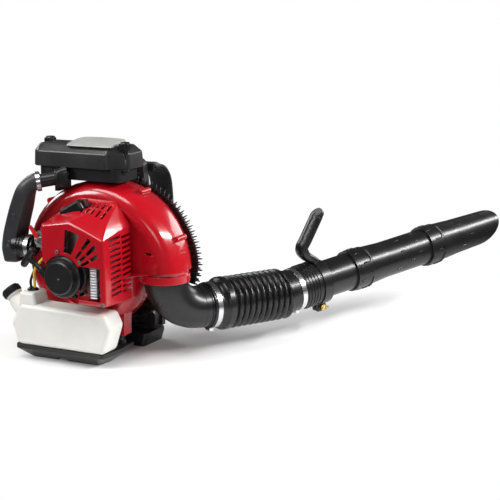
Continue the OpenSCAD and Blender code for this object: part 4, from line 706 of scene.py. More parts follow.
def swell_with_cloth(piece, cap):
    """Runs a short pressure simulation, caps how far any point moves, and applies it."""
    scene = bpy.context.scene
    bpy.context.view_layer.objects.active = piece
    piece.select_set(True)
    remesh = piece.modifiers.new("remesh", "REMESH")
    remesh.mode = "VOXEL"
    remesh.voxel_size = VOXEL
    bpy.ops.object.modifier_apply(modifier="remesh")
    before = points_of(piece.data)
    cloth = piece.modifiers.new("cloth", "CLOTH")
    cloth.settings.use_pressure = True
    cloth.settings.uniform_pressure_force = 4.0
    cloth.settings.quality = 5
    cloth.settings.effector_weights.gravity = 0.0
    cloth.point_cache.frame_start, cloth.point_cache.frame_end = 1, CLOTH_FRAMES
    for number in range(1, CLOTH_FRAMES + 1):
        scene.frame_set(number)
    bpy.ops.object.modifier_apply(modifier="cloth")
    scene.frame_set(1)
    move = points_of(piece.data) - before
    far = np.linalg.norm(move, axis=1, keepdims=True)
    move *= np.minimum(1, cap / np.maximum(far, 1e-9))
    piece.data.vertices.foreach_set("co", (before + move).ravel())
    piece.data.update()
    piece.select_set(False)


class BLOWER_OT_back_pad(bpy.types.Operator):
    """Foam back pad with sewn channels and an edge piping"""

    bl_idname = "blower.back_pad"
    bl_label = "Back pad"

    def execute(self, context):
        swell = sizes().pad_swell
        rows, cols, n = PAD_ROWS, PAD_COLS, PAD_ROWS * PAD_COLS
        x, z, front, back = pad_surface(swell)
        sides = [np.stack([x, y, z], -1).reshape(-1, 3) for y in (front, back)]
        faces = grid_faces(rows, cols)
        edge = np.concatenate([
            np.arange(cols), np.arange(1, rows) * cols + cols - 1,
            (rows - 1) * cols + np.arange(cols - 2, -1, -1), np.arange(rows - 2, 0, -1) * cols])
        nxt = np.roll(edge, -1)
        wall = np.stack([edge, nxt, nxt + n, edge + n], -1)
        pad = closed_piece("pad_foam", np.vstack(sides),
                           np.vstack([faces, faces[:, ::-1] + n, wall]), "pad")
        swell_with_cloth(pad, swell)
        co = points_of(pad.data)
        low, high = pad_box()
        proud = np.clip(co[:, 1] - (low[1] + 0.012), 0, None)
        co[:, 1] -= proud * pad_channels(co[:, 0], co[:, 2])
        co[:, 1] = np.clip(co[:, 1], low[1] + 0.0004, high[1] + 0.004)
        pad.data.vertices.foreach_set("co", co.ravel())
        pad.data.polygons.foreach_set("use_smooth", np.full(len(pad.data.polygons), True))
        pad.data.update()
        finer = pad.modifiers.new("finer", "SUBSURF")
        finer.levels = finer.render_levels = 1
        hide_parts("back_pad")
        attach(pad, "frame")
        self.piping(low, high)
        return {"FINISHED"}

    def piping(self, low, high):
        """Round piping along the pad's outline at the edge of its crown."""
        a = turns(120)
        k = superellipse(a, 5)
        tall = (high[2] - low[2]) / 2
        v = k * np.sin(a)
        width = pad_half_width((high[0] - low[0]) / 2, v)
        line = np.stack([k * np.cos(a) * (width - 0.001), np.full_like(a, low[1] + PAD_EDGE),
                         (low[2] + high[2]) / 2 + v * (tall - 0.001)], -1)
        along = unit(np.roll(line, -1, 0) - np.roll(line, 1, 0))
        e1 = np.tile([0.0, 1.0, 0.0], (len(a), 1))
        points = line[:, None] + PIPING_RADIUS * circles(10, e1, np.cross(along, e1))
        piece = closed_piece("pad_piping", points.reshape(-1, 3),
                             grid_faces(len(a), 10, wrap_rows=True, wrap_cols=True), "binding")
        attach(piece, "frame")


# ---------------------------------------------------------------- shoulder straps

STRAP_TOP = np.array([0.064, 0.0823, 0.414])
STRAP_ROUTE = np.array([[0, 9.2, 0], [0, 30, 2], [0, 58, -10], [2, 76, -42], [4, 80, -110],
                        [6, 74, -180], [8, 66, -232]]) / 1000
WEB_ROUTE = np.array([[8, 67, -226], [10, 60, -262], [18, 42, -310], [26, 16, -352]]) / 1000
FOAM_THICK, WEB_THICK, TAPE_THICK = 0.0105, 0.0022, 0.0016
TAPE_LIFT, STITCH_LIFT = 0.0062, 0.0071  # off the middle of the foam
BINDING_RADIUS, THREAD_RADIUS = 0.0030, 0.0004


def band_piece(name, line, width, thick, material, sides=20, power=6):
    """A flat band along a line: its section is a superellipse, and its UV map runs in metres
    across and along."""
    _, across, out = frames_along(line, (1, 0, 0))
    run = run_along(line)
    a = turns(sides)
    mesh = mesh_from(name, *closed_tube(
        soft_sections(line, across, out, width / 2, thick / 2, power, sides)))
    h = width / 2 * superellipse(a, power) * np.cos(a)
    uv = np.stack([np.concatenate([np.tile(h, len(line)), [0, 0]]),
                   np.concatenate([np.repeat(run, sides), [0, run[-1]]])], -1)
    index = np.empty(len(mesh.loops), np.int32)
    mesh.loops.foreach_get("vertex_index", index)
    layer = mesh.uv_layers.new(name="cloth")
    layer.data.foreach_set("uv", uv[index].astype(np.float32).ravel())
    outward(mesh)
    return new_piece(name, mesh, material)


def stitches(name, starts, ends):
    """A row of thread stitches, each a thin six-sided spindle from a start to an end."""
    along = unit(ends - starts)
    side = unit(np.cross(along, np.tile([0.31, 0.86, 0.41], (len(along), 1))))
    ring = THREAD_RADIUS * circles(6, side, np.cross(along, side))
    q1 = starts[:, None] * 0.75 + ends[:, None] * 0.25 + ring
    q2 = starts[:, None] * 0.25 + ends[:, None] * 0.75 + ring
    points = np.concatenate([starts[:, None], q1, q2, ends[:, None]], 1)
    j = np.arange(6)
    k = (j + 1) % 6
    zero, last = np.zeros(6, int), np.full(6, 13)
    one = np.concatenate([np.stack([zero, 1 + j, 1 + k, 1 + k], -1),
                          np.stack([1 + j, 7 + j, 7 + k, 1 + k], -1),
                          np.stack([7 + j, last, last, 7 + k], -1)])
    faces = (np.arange(len(starts))[:, None, None] * 14 + one[None]).reshape(-1, 4)
    piece = closed_piece(name, points.reshape(-1, 3), faces, "thread")
    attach(piece, "frame")


class BLOWER_OT_straps(bpy.types.Operator):
    """Padded shoulder straps with bound edges, stitched tape and webbing tails"""

    bl_idname = "blower.straps"
    bl_label = "Shoulder straps"

    def execute(self, context):
        for label, side in (("left", -1), ("right", 1)):
            self.one(label, side)
        return {"FINISHED"}

    def one(self, label, side):
        z = sizes()
        flip = np.array([side, 1, 1])
        pad_line, _ = curve_through((STRAP_TOP + STRAP_ROUTE) * flip, 60)
        web_line, _ = curve_through((STRAP_TOP + WEB_ROUTE) * flip, 40)
        foam = band_piece(f"strap_foam_{label}", pad_line, z.strap_width - 0.003, FOAM_THICK,
                          "strap", 32, 2.6)
        web = band_piece(f"strap_web_{label}", web_line, z.web_width, WEB_THICK, "web")
        for piece in (foam, web):
            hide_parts(f"strap_{label}")
            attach(piece, "frame")
        _, across, out = frames_along(pad_line, (1, 0, 0))
        out = out * (1 if out[30][1] > 0 else -1)
        over = band_piece(f"strap_tape_{label}", pad_line[2:] + TAPE_LIFT * out[2:],
                          z.web_width, TAPE_THICK, "web")
        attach(over, "frame")
        for tag, sign in (("in", -1), ("out", 1)):
            edge = pad_line + sign * (z.strap_width / 2 - 0.0022) * across
            piece = tube_piece(f"strap_binding_{tag}_{label}", edge, BINDING_RADIUS, "binding",
                               10, 60, (1, 0, 0))
            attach(piece, "frame")
            row = pad_line + sign * (z.web_width / 2 - 0.002) * across + STITCH_LIFT * out
            fine, _ = curve_through(row[2:], 160)
            stitches(f"strap_stitch_{tag}_{label}", fine[:-1:2], fine[1::2])


# ---------------------------------------------------------------- lines, rope and fittings

GROMMET = np.array([-0.093, -0.152, 0.156])
FUEL_ROUTE = np.array([[5, 0, -30], [5, 0, -10], [5, 0, 8], [5, 0, 22], [13, -9, 50],
                       [31, 1, 78], [31, 4, 92.1]]) / 1000
RETURN_ROUTE = np.array([[-5, 0, -30], [-5, 0, -10], [-5, 0, 8], [-5, 0, 22], [4, 6, 48],
                         [22, 14, 74], [24, 16, 92.1]]) / 1000
SEAM_SCREWS = (20, 57, 95, 133, 171, 209, 247, 285)  # degrees round the fan case
COVER_SCREWS = ((0.016, 0.264), (0.072, 0.246), (0.128, 0.158))  # x and z
SCREW_RADIUS = 0.0045
ROPE_RISE = math.radians(54)  # of the rope's pull, from upright towards the left
ROPE_MOUTH = np.array([-0.0325, -0.202, 0.218])
ROPE_LONG, ROPE_RADIUS, ROPE_LAY, ROPE_STRANDS = 0.045, 0.0019, 0.009, 3


class BLOWER_OT_fuel_lines(bpy.types.Operator):
    """Clear yellow fuel line and black return line from the tank to the carburettor"""

    bl_idname = "blower.fuel_lines"
    bl_label = "Fuel lines"

    def execute(self, context):
        radius = sizes().fuel_line_radius
        for name, route, material in (("fuel_line", FUEL_ROUTE, "fuel_line"),
                                      ("return_line", RETURN_ROUTE, "rubber")):
            piece = tube_piece(name, GROMMET + route, radius, material, 18, 80)
            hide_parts("fuel_hoses")
            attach(piece, "frame")
        return {"FINISHED"}


def screw_mesh(origin, axis, radius, height):
    """Cap screw: a chamfered head with a six-sided socket. The socket's wall follows
    r = k / cos(angle to the nearest flat)."""
    axis = unit(axis)
    side = unit(np.cross(axis, [0.3, 0.5, 0.8]))
    third = np.cross(axis, side)
    a = turns(36)
    flat = (a + math.pi / 6) % (math.pi / 3) - math.pi / 6
    hexagon = 0.42 * radius / np.cos(flat)
    rows = [(np.full(36, radius), 0.0), (np.full(36, radius), 0.8 * height),
            (np.full(36, 0.86 * radius), height), (hexagon * 1.06, height),
            (hexagon, 0.94 * height), (hexagon, 0.3 * height), (np.full(36, 1e-5), 0.2 * height)]
    points = np.stack([np.asarray(origin) + h * axis + r[:, None] * (
        np.cos(a)[:, None] * side + np.sin(a)[:, None] * third) for r, h in rows])
    return points.reshape(-1, 3), grid_faces(len(rows), 36, wrap_cols=True)


def scroll(a):
    """Radius of the fan case's wall at a degrees from the outlet, and past 270 the tongue."""
    a = np.asarray(a, float) % 360
    return np.maximum(0.115, 0.213 - 0.00024 * np.minimum(a, 270)
                      - 0.00047 * np.maximum(0, a - 270))


class BLOWER_OT_fasteners(bpy.types.Operator):
    """Dark socket screws of the case's seam and the engine cover"""

    bl_idname = "blower.fasteners"
    bl_label = "Fasteners"

    def execute(self, context):
        low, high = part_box("screws")
        seam = []
        for a in SEAM_SCREWS:
            r, t = float(scroll(a)) + 0.005, math.radians(a)
            seam.append((FAN_AXIS[0] + r * math.cos(t), high[1] - 0.0040,
                         FAN_AXIS[2] + r * math.sin(t)))
        cover = [(x, low[1] + 0.0022, z) for x, z in COVER_SCREWS]
        for name, places, axis, height in (("seam_screws", seam, (0, 1, 0), 0.0040),
                                           ("cover_screws", cover, (0, -1, 0), 0.0024)):
            mesh = mesh_from(name, *joined(screw_mesh(place, axis, SCREW_RADIUS, height)
                                           for place in places))
            mesh.set_sharp_from_angle(angle=math.radians(35))
            piece = new_piece(name, mesh, "iron")
            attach(piece, "frame")
            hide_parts("screws")
        return {"FINISHED"}


class BLOWER_OT_rope(bpy.types.Operator):
    """Laid starter rope, leaving its guide along the line of the pull"""

    bl_idname = "blower.rope"
    bl_label = "Starter rope"

    def execute(self, context):
        axis = unit([-math.sin(ROPE_RISE), 0, math.cos(ROPE_RISE)])
        piece = closed_piece("rope_strands", *joined(self.strands(axis)), "rope")
        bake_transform(piece)
        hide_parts("starter_rope")
        return {"FINISHED"}

    def strands(self, axis):
        """Each strand's centre turns about the axis once in each lay length."""
        e1 = unit(np.cross(axis, [0.0, 1.0, 0.0]))
        e2 = np.cross(axis, e1)
        s = np.linspace(0, ROPE_LONG, 90)
        for k in range(ROPE_STRANDS):
            turn = s / ROPE_LAY * math.tau + k * math.tau / ROPE_STRANDS
            out = np.cos(turn)[:, None] * e1 + np.sin(turn)[:, None] * e2
            line = ROPE_MOUTH - 0.020 * axis + s[:, None] * axis + 0.48 * ROPE_RADIUS * out
            yield closed_tube(line[:, None]
                              + 0.52 * ROPE_RADIUS * circles(10, out, np.cross(axis, out)))


# ---------------------------------------------------------------- intake duct

DUCT_PATH = np.array([[-74, -134, 402], [-82.6, -140, 400.4], [-93.5, -145.5, 395],
                      [-106, -147, 378], [-122, -141, 344], [-137, -136, 308],
                      [-147, -134, 275], [-150, -134, 246], [-149, -134, 222]]) / 1000
DUCT_ACROSS = np.array([19, 19, 19, 19, 18.5, 18.5, 19.5, 21, 19]) / 1000
DUCT_DEEP = np.array([19, 19, 19.5, 22, 25, 26.5, 27, 27.5, 25]) / 1000
DUCT_STATIONS = 64
BOSS_STATIONS = (31, 52)
BOSS_RADIUS = 0.0075
COWL = np.array([  # place along the pipe and half width, in metres
    (0, 0.005), (0, 0.0200), (0.001, 0.0212), (0.004, 0.0212), (0.005, 0.0204),
    (0.0055, 0.0198), (0.012, 0.0215), (0.020, 0.0230), (0.028, 0.0235), (0.029, 0.005)])
BOOT_START = (-0.1380, -0.142, 0.254)
BOOT_LONG = 0.049


class BLOWER_OT_duct(bpy.types.Operator):
    """Moulded duct that drops to the carburettor's boot, with two ribbed bosses on its face"""

    bl_idname = "blower.duct"
    bl_label = "Intake duct"

    def execute(self, context):
        line, run = curve_through(DUCT_PATH, DUCT_STATIONS)
        along, e2, e1 = frames_along(line, (0, 1, 0))
        shell = self.shell(line, run / run[-1], along, e1, e2)
        boot = self.boot()
        for piece in (shell, boot, self.bosses(line, e1, e2), self.cowl()):
            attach(piece, "frame")
        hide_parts("intake_duct")
        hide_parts("intake_duct")
        return {"FINISHED"}

    def shell(self, line, t, along, e1, e2):
        """The duct: round at its upper end, a superellipse of power 6.5 below, and closed by a
        low crown whose outline shrinks as a cosine."""
        knots = run_along(DUCT_PATH)
        across = np.interp(t, knots / knots[-1], DUCT_ACROSS)
        deep = np.interp(t, knots / knots[-1], DUCT_DEEP)
        power = 2 + 4.5 * np.clip((t - 0.12) / 0.3, 0, 1)
        bead = 0.0012 * np.exp(-((t - 0.055) / 0.012) ** 2)
        sections = soft_sections(line, e1, e2, across + bead, deep + bead, power, 72)
        crown = [line[-1] + along[-1] * 0.0075 * math.sin(q)
                 + (sections[-1] - line[-1]) * (0.72 + 0.28 * math.cos(q))
                 for q in np.linspace(0.2, math.pi / 2, 7)]
        return closed_piece("duct_shell", *closed_tube(np.concatenate([sections, np.stack(crown)])),
                            "duct_black")

    def cowl(self):
        """Moulded cowl where the air cleaner's pipe enters its base: a rounded block round the
        pipe, with a raised rim at its mouth."""
        along = unit([0.80, 0.55, 0.15])
        side = unit(np.cross(along, UP))
        over = np.cross(side, along)
        s, wide = COWL.T
        line = DUCT_PATH[0] + (0.032 + s)[:, None] * along
        power = np.linspace(2.2, 5.0, len(s))
        return closed_piece("pipe_cowl", *closed_tube(
            soft_sections(line, side, over, wide, wide, power, 64)), "black", 35)

    def boot(self):
        """Round rubber boot from the duct to the carburettor: two soft ribs on a cone."""
        x = np.linspace(0, BOOT_LONG, 60)
        r = 0.0262 - 0.0022 * np.clip(x / 0.022, 0, 1)
        r += 0.0016 * np.clip(np.cos((x - 0.0125) / 0.0062 * math.tau), 0, 1) * (
            (x > 0.009) & (x < 0.0225))
        r = np.where(x > 0.0400, 0.0200, r)
        profile = np.concatenate([[[1e-5, 0]], np.stack([r, x], -1), [[1e-5, BOOT_LONG]]])
        return closed_piece("duct_boot", *revolve(profile, BOOT_START, (1, 0, 0), UP, 64),
                            "rubber", 40)

    def bosses(self, line, e1, e2):
        """Two round bosses with concentric ribs on the duct's outer face."""
        r = np.linspace(BOSS_RADIUS, 0, 40)
        h = 0.0011 + 0.0006 * np.cos(r / BOSS_RADIUS * 3 * math.tau)
        profile = np.concatenate([[[0.0078, -0.002]], np.stack([np.maximum(r, 1e-5), h], -1)])
        parts = []
        for k in BOSS_STATIONS:
            out = -e2[k] if e2[k][1] > 0 else e2[k]
            half = np.interp(k / (DUCT_STATIONS - 1), np.linspace(0, 1, len(DUCT_DEEP)), DUCT_DEEP)
            parts.append(revolve(profile, line[k] + out * half, out, e1[k], 40))
        return new_piece("duct_bosses", mesh_from("duct_bosses", *joined(parts)), "duct_black")


# ---------------------------------------------------------------- debris fringe

TEETH_ROWS = ((0.0235, 0.0), (0.0325, 1.6))  # y of each row, and its shift in degrees
TEETH_PITCH = 3.6  # degrees
TOOTH = ((0.022, 0.0018, 0.0030), (0.009, 0.0016, 0.0028), (0.001, 0.0009, 0.0022),
         (0, 0.0003, 0.0012))  # depth below the tip, half width and half thickness
FRINGE_INNER = 0.1495


class BLOWER_OT_debris_fringe(bpy.types.Operator):
    """Toothed fringe of the inlet guard round the rear of the fan case"""

    bl_idname = "blower.debris_fringe"
    bl_label = "Debris fringe"

    def execute(self, context):
        shapes = [self.ring()]
        for y, shift in TEETH_ROWS:
            shapes += self.teeth(y, shift)
        mesh = mesh_from("debris_fringe", *joined(shapes), False)
        outward(mesh)
        piece = new_piece("debris_fringe", mesh, "black")
        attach(piece, "frame")
        return {"FINISHED"}

    def reach(self, a):
        """Outer radius of the teeth at a degrees: a little past the case, less at its ends."""
        ends = np.clip(np.minimum(a + 16, 198 - a) / 12, 0, 1)
        return scroll(np.clip(a, 0, 270)) - 0.0035 + 0.0045 * ends

    def ring(self):
        """Band under the teeth: a rectangle carried along the scroll, 10 mm inside their tips."""
        a = np.arange(-14, 197, 2.0)
        t = np.radians(a)
        out = np.stack([np.cos(t), np.zeros_like(t), np.sin(t)], -1)[:, None]
        inner, outer = np.full_like(a, FRINGE_INNER), self.reach(a) - 0.0100
        r = np.stack([inner, outer, outer, inner], -1)[..., None]
        y = np.array([0.0260, 0.0285, 0.0345, 0.0350])[None, :, None] * np.array([0, 1, 0])
        return closed_tube(FAN_AXIS + r * out + y)

    def teeth(self, y, shift):
        """One row of teeth: wedges 4 mm thick at the root and 1 mm at the tip."""
        back = np.array([0.0, 1.0, 0.0])
        for a in np.arange(-13 + shift, 196, TEETH_PITCH):
            t = math.radians(a)
            out = np.array([math.cos(t), 0, math.sin(t)])
            side = np.array([-math.sin(t), 0, math.cos(t)])
            tip = float(self.reach(np.array(a)))
            yield closed_tube(np.array([
                [FAN_AXIS + (tip - down) * out + p * half * side + (y + 0.0025 + q * deep) * back
                 for p, q in ((-1, -1), (1, -1), (1, 1), (-1, 1))]
                for down, half, deep in TOOTH]))


# ---------------------------------------------------------------- tube marks

BARS = ((0.345, 20), (0.345, 62), (0.372, 100), (0.395, 45), (0.398, 82), (0.545, 35),
        (0.575, 80), (0.548, 112), (0.330, 118), (0.402, 8))  # place along the tube, angle
BAR_LONG, BAR_WIDE, BAR_HIGH = 0.013, 0.0034, 0.0024
PIPE_RADIUS, SOCKET_RADIUS = 0.0450, 0.0511
SOCKETS = (0.203, 0.436)
RIDGE_RADIUS = 0.0020


def on_pipe(s, angle, r):
    """Points on the blower tube: s along it, angle from its upper side towards the nearer side."""
    s, angle, r = np.broadcast_arrays(np.asarray(s, float), angle, r)
    near = np.array([math.cos(HOSE_AZ), -math.sin(HOSE_AZ), 0.0])
    over = np.cross(near, TUBE_DIR)
    t = np.radians(angle)[..., None]
    return (TUBE_START + s[..., None] * TUBE_DIR
            + r[..., None] * (np.cos(t) * over + np.sin(t) * near))


class BLOWER_OT_tube_marks(bpy.types.Operator):
    """Raised bars and locking ridges of the tube sections"""

    bl_idname = "blower.tube_marks"
    bl_label = "Tube marks"

    def execute(self, context):
        bars = new_piece("tube_bars", mesh_from("tube_bars", *joined(self.bars())), "tube")
        ridges = closed_piece("socket_ridges", *joined(self.ridges()), "tube")
        for piece in (bars, ridges):
            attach(piece, "tube")
        return {"FINISHED"}

    def bars(self):
        """Rounded bars 13 mm long: the height over the pipe is a dome in both directions."""
        u, v = np.meshgrid(np.linspace(-1, 1, 17), np.linspace(-1, 1, 9), indexing="ij")
        dome = np.clip(1 - np.abs(u) ** 6, 0, 1) ** 0.5 * np.clip(1 - np.abs(v) ** 3, 0, 1) ** 0.5
        for s, a in BARS:
            r = PIPE_RADIUS - max(0, s - 0.50) * 0.0197
            place = on_pipe(s + BAR_LONG / 2 * u,
                            a + math.degrees(BAR_WIDE / 2 / PIPE_RADIUS) * v,
                            r + BAR_HIGH * dome - 0.0004)
            yield place.reshape(-1, 3), grid_faces(17, 9)

    def ridges(self):
        """Hooked locking ridges on the two sockets."""
        bend = np.concatenate([np.linspace(0, 34, 16), np.linspace(36, 40, 6), np.full(8, 41.0)])
        reach = np.concatenate([np.full(16, 0.038), np.linspace(0.0375, 0.034, 6),
                                np.linspace(0.032, 0.016, 8)])
        for socket in SOCKETS:
            for turn in (20, 110, 200, 290):
                line = on_pipe(socket + reach, bend + turn, SOCKET_RADIUS)
                _, e1, e2 = frames_along(line, TUBE_DIR + np.array([0.3, 0, 0.2]))
                yield closed_tube(line[:, None] + RIDGE_RADIUS * circles(10, e1, e2))


# ---------------------------------------------------------------- CAD finishes


class BLOWER_OT_red_housings(bpy.types.Operator):
    """Gloss red fan case and engine cover"""

    bl_idname = "blower.red_housings"
    bl_label = "Red housings"

    def execute(self, context):
        for node, name, angle, slot in (("fan_case_rear", "scroll_rear", 40, "red_case"),
                                        ("fan_case_front", "scroll_front", 40, "red_case"),
                                        ("engine_cover", "cover_shell", 30, "red_gloss")):
            smooth_copy(node, name, "red", angle)
        return {"FINISHED"}


PLUG_CAP = np.array([0.023, -0.157, 0.3475])
PLUG_CAP_HALF = (0.0275, 0.0125, 0.0140)
PLUG_CAP_POWER = 5.0
PLUG_RIB_PITCH = 0.0046
LOUVRE_LOW, LOUVRE_HIGH, LOUVRE_PITCH = 0.168, 0.236, 0.0062
LOUVRE_X, LOUVRE_Y, LOUVRE_HALF = 0.1010, -0.2030, 0.0085


class BLOWER_OT_engine(bpy.types.Operator):
    """Metal, rubber and black finishes of the engine, starter and carburettor"""

    bl_idname = "blower.engine"
    bl_label = "Engine"

    def execute(self, context):
        dress("alloy", "crankcase", "engine_cylinder", "piston", "flywheel", "impeller",
              "carburettor")
        dress("steel", "crankshaft", "connecting_rod", "muffler_guard", "throttle_lever")
        dress("ceramic", "spark_plug")
        dress("rubber", "plug_boot", "primer_bulb", "tank_grommet")
        dress("black", "ignition_coil", "intake_insulator", "starter_case", "starter_reel",
              "starter_grip", "inlet_guard")
        dress("lever", "choke_lever")
        smooth_copy("muffler", "muffler_body", "muffler")
        for piece, slot in ((self.plug_cap(), "rubber_black"), (self.louvres(), "steel")):
            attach(piece, "frame")
        return {"FINISHED"}

    def plug_cap(self):
        """Ribbed rubber cap of the spark plug, lying along the cover's shoulder: rings whose
        outline is a superellipse and whose size follows (1 - |u|^p)^(1/p), with p the power."""
        lie = unit([0.80, 0.22, 0.50])
        wide = unit(np.cross(lie, UP))
        over = np.cross(wide, lie)
        u = np.sin(np.linspace(-math.pi / 2, math.pi / 2, 72))
        size = np.maximum((1 - np.abs(u) ** PLUG_CAP_POWER) ** (1 / PLUG_CAP_POWER), 0.02)
        half = PLUG_CAP_HALF
        points, faces = closed_tube(
            soft_sections(PLUG_CAP + (half[0] * u)[:, None] * lie, wide, over, half[1] * size,
                          half[2] * size, PLUG_CAP_POWER, 64))
        body = points - PLUG_CAP
        ribbed = np.clip(3 * np.cos(body @ lie / PLUG_RIB_PITCH * math.tau), -1, 1)
        points = points + (0.0005 * ribbed * (body @ over > 0.010))[:, None] * over
        piece = closed_piece("plug_cap", points, faces, "rubber", 40)
        even_normals(piece)
        return piece

    def louvres(self):
        """Bright louvred guard seen through the cover's lower window: a post whose depth
        swells once for each louvre."""
        z = np.linspace(LOUVRE_LOW, LOUVRE_HIGH, 140)
        wave = np.clip(np.cos((z - LOUVRE_LOW) / LOUVRE_PITCH * math.tau), 0, 1)
        line = np.stack([np.full_like(z, LOUVRE_X), np.full_like(z, LOUVRE_Y), z], -1)
        return closed_piece("guard_louvres", *closed_tube(
            soft_sections(line, (1, 0, 0), (0, 1, 0), LOUVRE_HALF, 0.0012 + 0.0022 * wave ** 0.6,
                          6, 24)), "alloy", 35)


class BLOWER_OT_fuel_tank(bpy.types.Operator):
    """Milky tank with its black cap"""

    bl_idname = "blower.fuel_tank"
    bl_label = "Fuel tank"

    def execute(self, context):
        tank = smooth_copy("fuel_tank", "tank_body", "tank")
        dress("black", "fuel_cap")
        return {"FINISHED"}


LID_X, LID_Y = 0.031, -0.0680  # middle
LID_HALF_X, LID_HALF_Y = 0.058, 0.0385
LID_FLOOR = 0.4800
LID_RINGS = (  # share of the outline, and drop below the top in metres
    (0.04, 0), (0.3, 0), (0.6, 0), (0.85, 0), (0.94, 0), (0.97, 0.0003), (0.988, 0.0011),
    (0.997, 0.0024), (1.0, 0.004), (1.0, 0.020), (0.5, 0.020), (0.04, 0.020))


class BLOWER_OT_air_cleaner(bpy.types.Operator):
    """Black air cleaner with its grey lid plate, filter, knobs and clamps"""

    bl_idname = "blower.air_cleaner"
    bl_label = "Air cleaner"

    def execute(self, context):
        smooth_copy("air_cleaner_cover", "air_cover_shell", "air_black")
        dress("black", "air_cleaner_base", "cover_knob_left", "cover_knob_right")
        self.lid_plate()
        dress("paper", "filter_element")
        dress("steel", "duct_clamps")
        return {"FINISHED"}

    def lid_plate(self):
        """Grey top plate, rising from the front edge to the back: rings of a rounded rectangle
        from its middle to its rim, then down the rim and in again underneath."""
        a = turns(96)
        m = superellipse(a, 9)
        rings = []
        for size, drop in LID_RINGS:
            x = LID_X + LID_HALF_X * size * m * np.cos(a)
            y = LID_Y + LID_HALF_Y * size * m * np.sin(a)
            rise = np.clip((y - LID_Y + LID_HALF_Y) / (2 * LID_HALF_Y), 0, 1)
            notch = 0.0022 * np.exp(-((x - LID_X) / 0.012) ** 2 - ((y + 0.104) / 0.010) ** 2)
            crown = 0.0012 * (1 - ((x - LID_X) / LID_HALF_X) ** 2)
            top = 0.4818 + 0.0100 * rise * (2 - rise) + crown
            z = LID_FLOOR + 0 * x if drop > 0.01 else top - notch - drop
            rings.append(np.stack([x, y, np.maximum(z, LID_FLOOR)], -1))
        piece = closed_piece("lid_plate", *closed_tube(np.stack(rings)), "lid", 50)
        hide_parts("air_cleaner_lid")
        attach(piece, NODES["air_cleaner_lid"]["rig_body"])


COLLAR_RADIUS = 0.064  # outside the handle's collar
HANDLE_SWELL = 0.0030


class BLOWER_OT_tube(bpy.types.Operator):
    """Black elbow, tube sections, nozzle and hook handle"""

    bl_idname = "blower.tube"
    bl_label = "Blower tube"

    def execute(self, context):
        dress("tube", "elbow", "hose_end", "swivel_pipe", "middle_pipe", "nozzle")
        dress("steel", "rear_hose_clamp", "front_hose_clamp")
        dress("brass", "handle_bolt")
        self.full_handle()
        return {"FINISHED"}

    def full_handle(self):
        """The handle with its bar swelled by 3 mm beyond its collar."""
        mesh = smooth_copy("handle", "handle_shell", "tube").data
        points, normals = np.empty((2, len(mesh.vertices) * 3))
        mesh.vertices.foreach_get("co", points)
        mesh.vertices.foreach_get("normal", normals)
        points, normals = points.reshape(-1, 3), normals.reshape(-1, 3)
        off = points - TUBE_START
        off = off - (off @ TUBE_DIR)[:, None] * TUBE_DIR
        t = smoothstep((np.linalg.norm(off, axis=1) - COLLAR_RADIUS) / 0.020)
        points += (HANDLE_SWELL * t)[:, None] * normals
        mesh.vertices.foreach_set("co", points.ravel())
        mesh.update()


class BLOWER_OT_carrying_frame(bpy.types.Operator):
    """Rough black base tray, back plate, mounts and throttle arm"""

    bl_idname = "blower.carrying_frame"
    bl_label = "Carrying frame"

    def execute(self, context):
        smooth_copy("base_tray", "tray_shell", "black", 30)
        smooth_copy("back_plate", "plate_shell", "rough_black", 30)
        dress("rubber", "rubber_mounts")
        dress("black", "strap_hardware", "throttle_arm")
        smooth_copy("throttle_grip", "grip_shell", "rubber")
        dress("lever", "throttle_trigger", "stop_switch")
        return {"FINISHED"}


# ---------------------------------------------------------------- studio

CAMERA_PLACE = (1.4579, -2.3230, 0.8047)
CAMERA_LOOK = (-0.4134, 0.8865, -0.2079)
FLOOR_HALF = 14.0
FLOOR_FADE = (0.35, 1.1)  # distance from the machine where the floor starts and ends to clear
LAMPS = (  # name, place, aim, width, height, power
    ("key_box", (-1.5, -1.9, 1.7), (0.05, -0.1, 0.22), 0.8, 1.4, 46.0),
    ("front_box", (1.2, -2.6, 0.9), (0.1, 0.0, 0.2), 0.9, 0.6, 6.0),
    ("tube_strip", (1.80, 0.55, 1.25), (0.53, 0.50, 0.16), 2.0, 0.16, 54.0),
    ("top_strip", (-0.3, -0.9, 2.3), (0.0, 0.0, 0.3), 1.6, 0.7, 24.0),
    ("back_box", (-2.1, 0.8, 1.5), (0.0, 0.0, 0.3), 0.9, 1.4, 22.0),
    ("low_box", (1.0, 2.4, 0.9), (0.1, 0.1, 0.25), 1.2, 0.8, 12.0))
SURROUND_SHINE, SURROUND_SOFT = 0.06, 0.20


def stand(name, data, place, away):
    """An object at a place whose local Z points away from what it faces."""
    away = unit(away)
    right = unit(np.cross(UP, away))
    matrix = Matrix(np.stack([right, np.cross(away, right), away], -1).tolist()).to_4x4()
    matrix.translation = place
    item = bpy.data.objects.new(name, data)
    bpy.context.scene.collection.objects.link(item)
    item.matrix_world = matrix
    return item


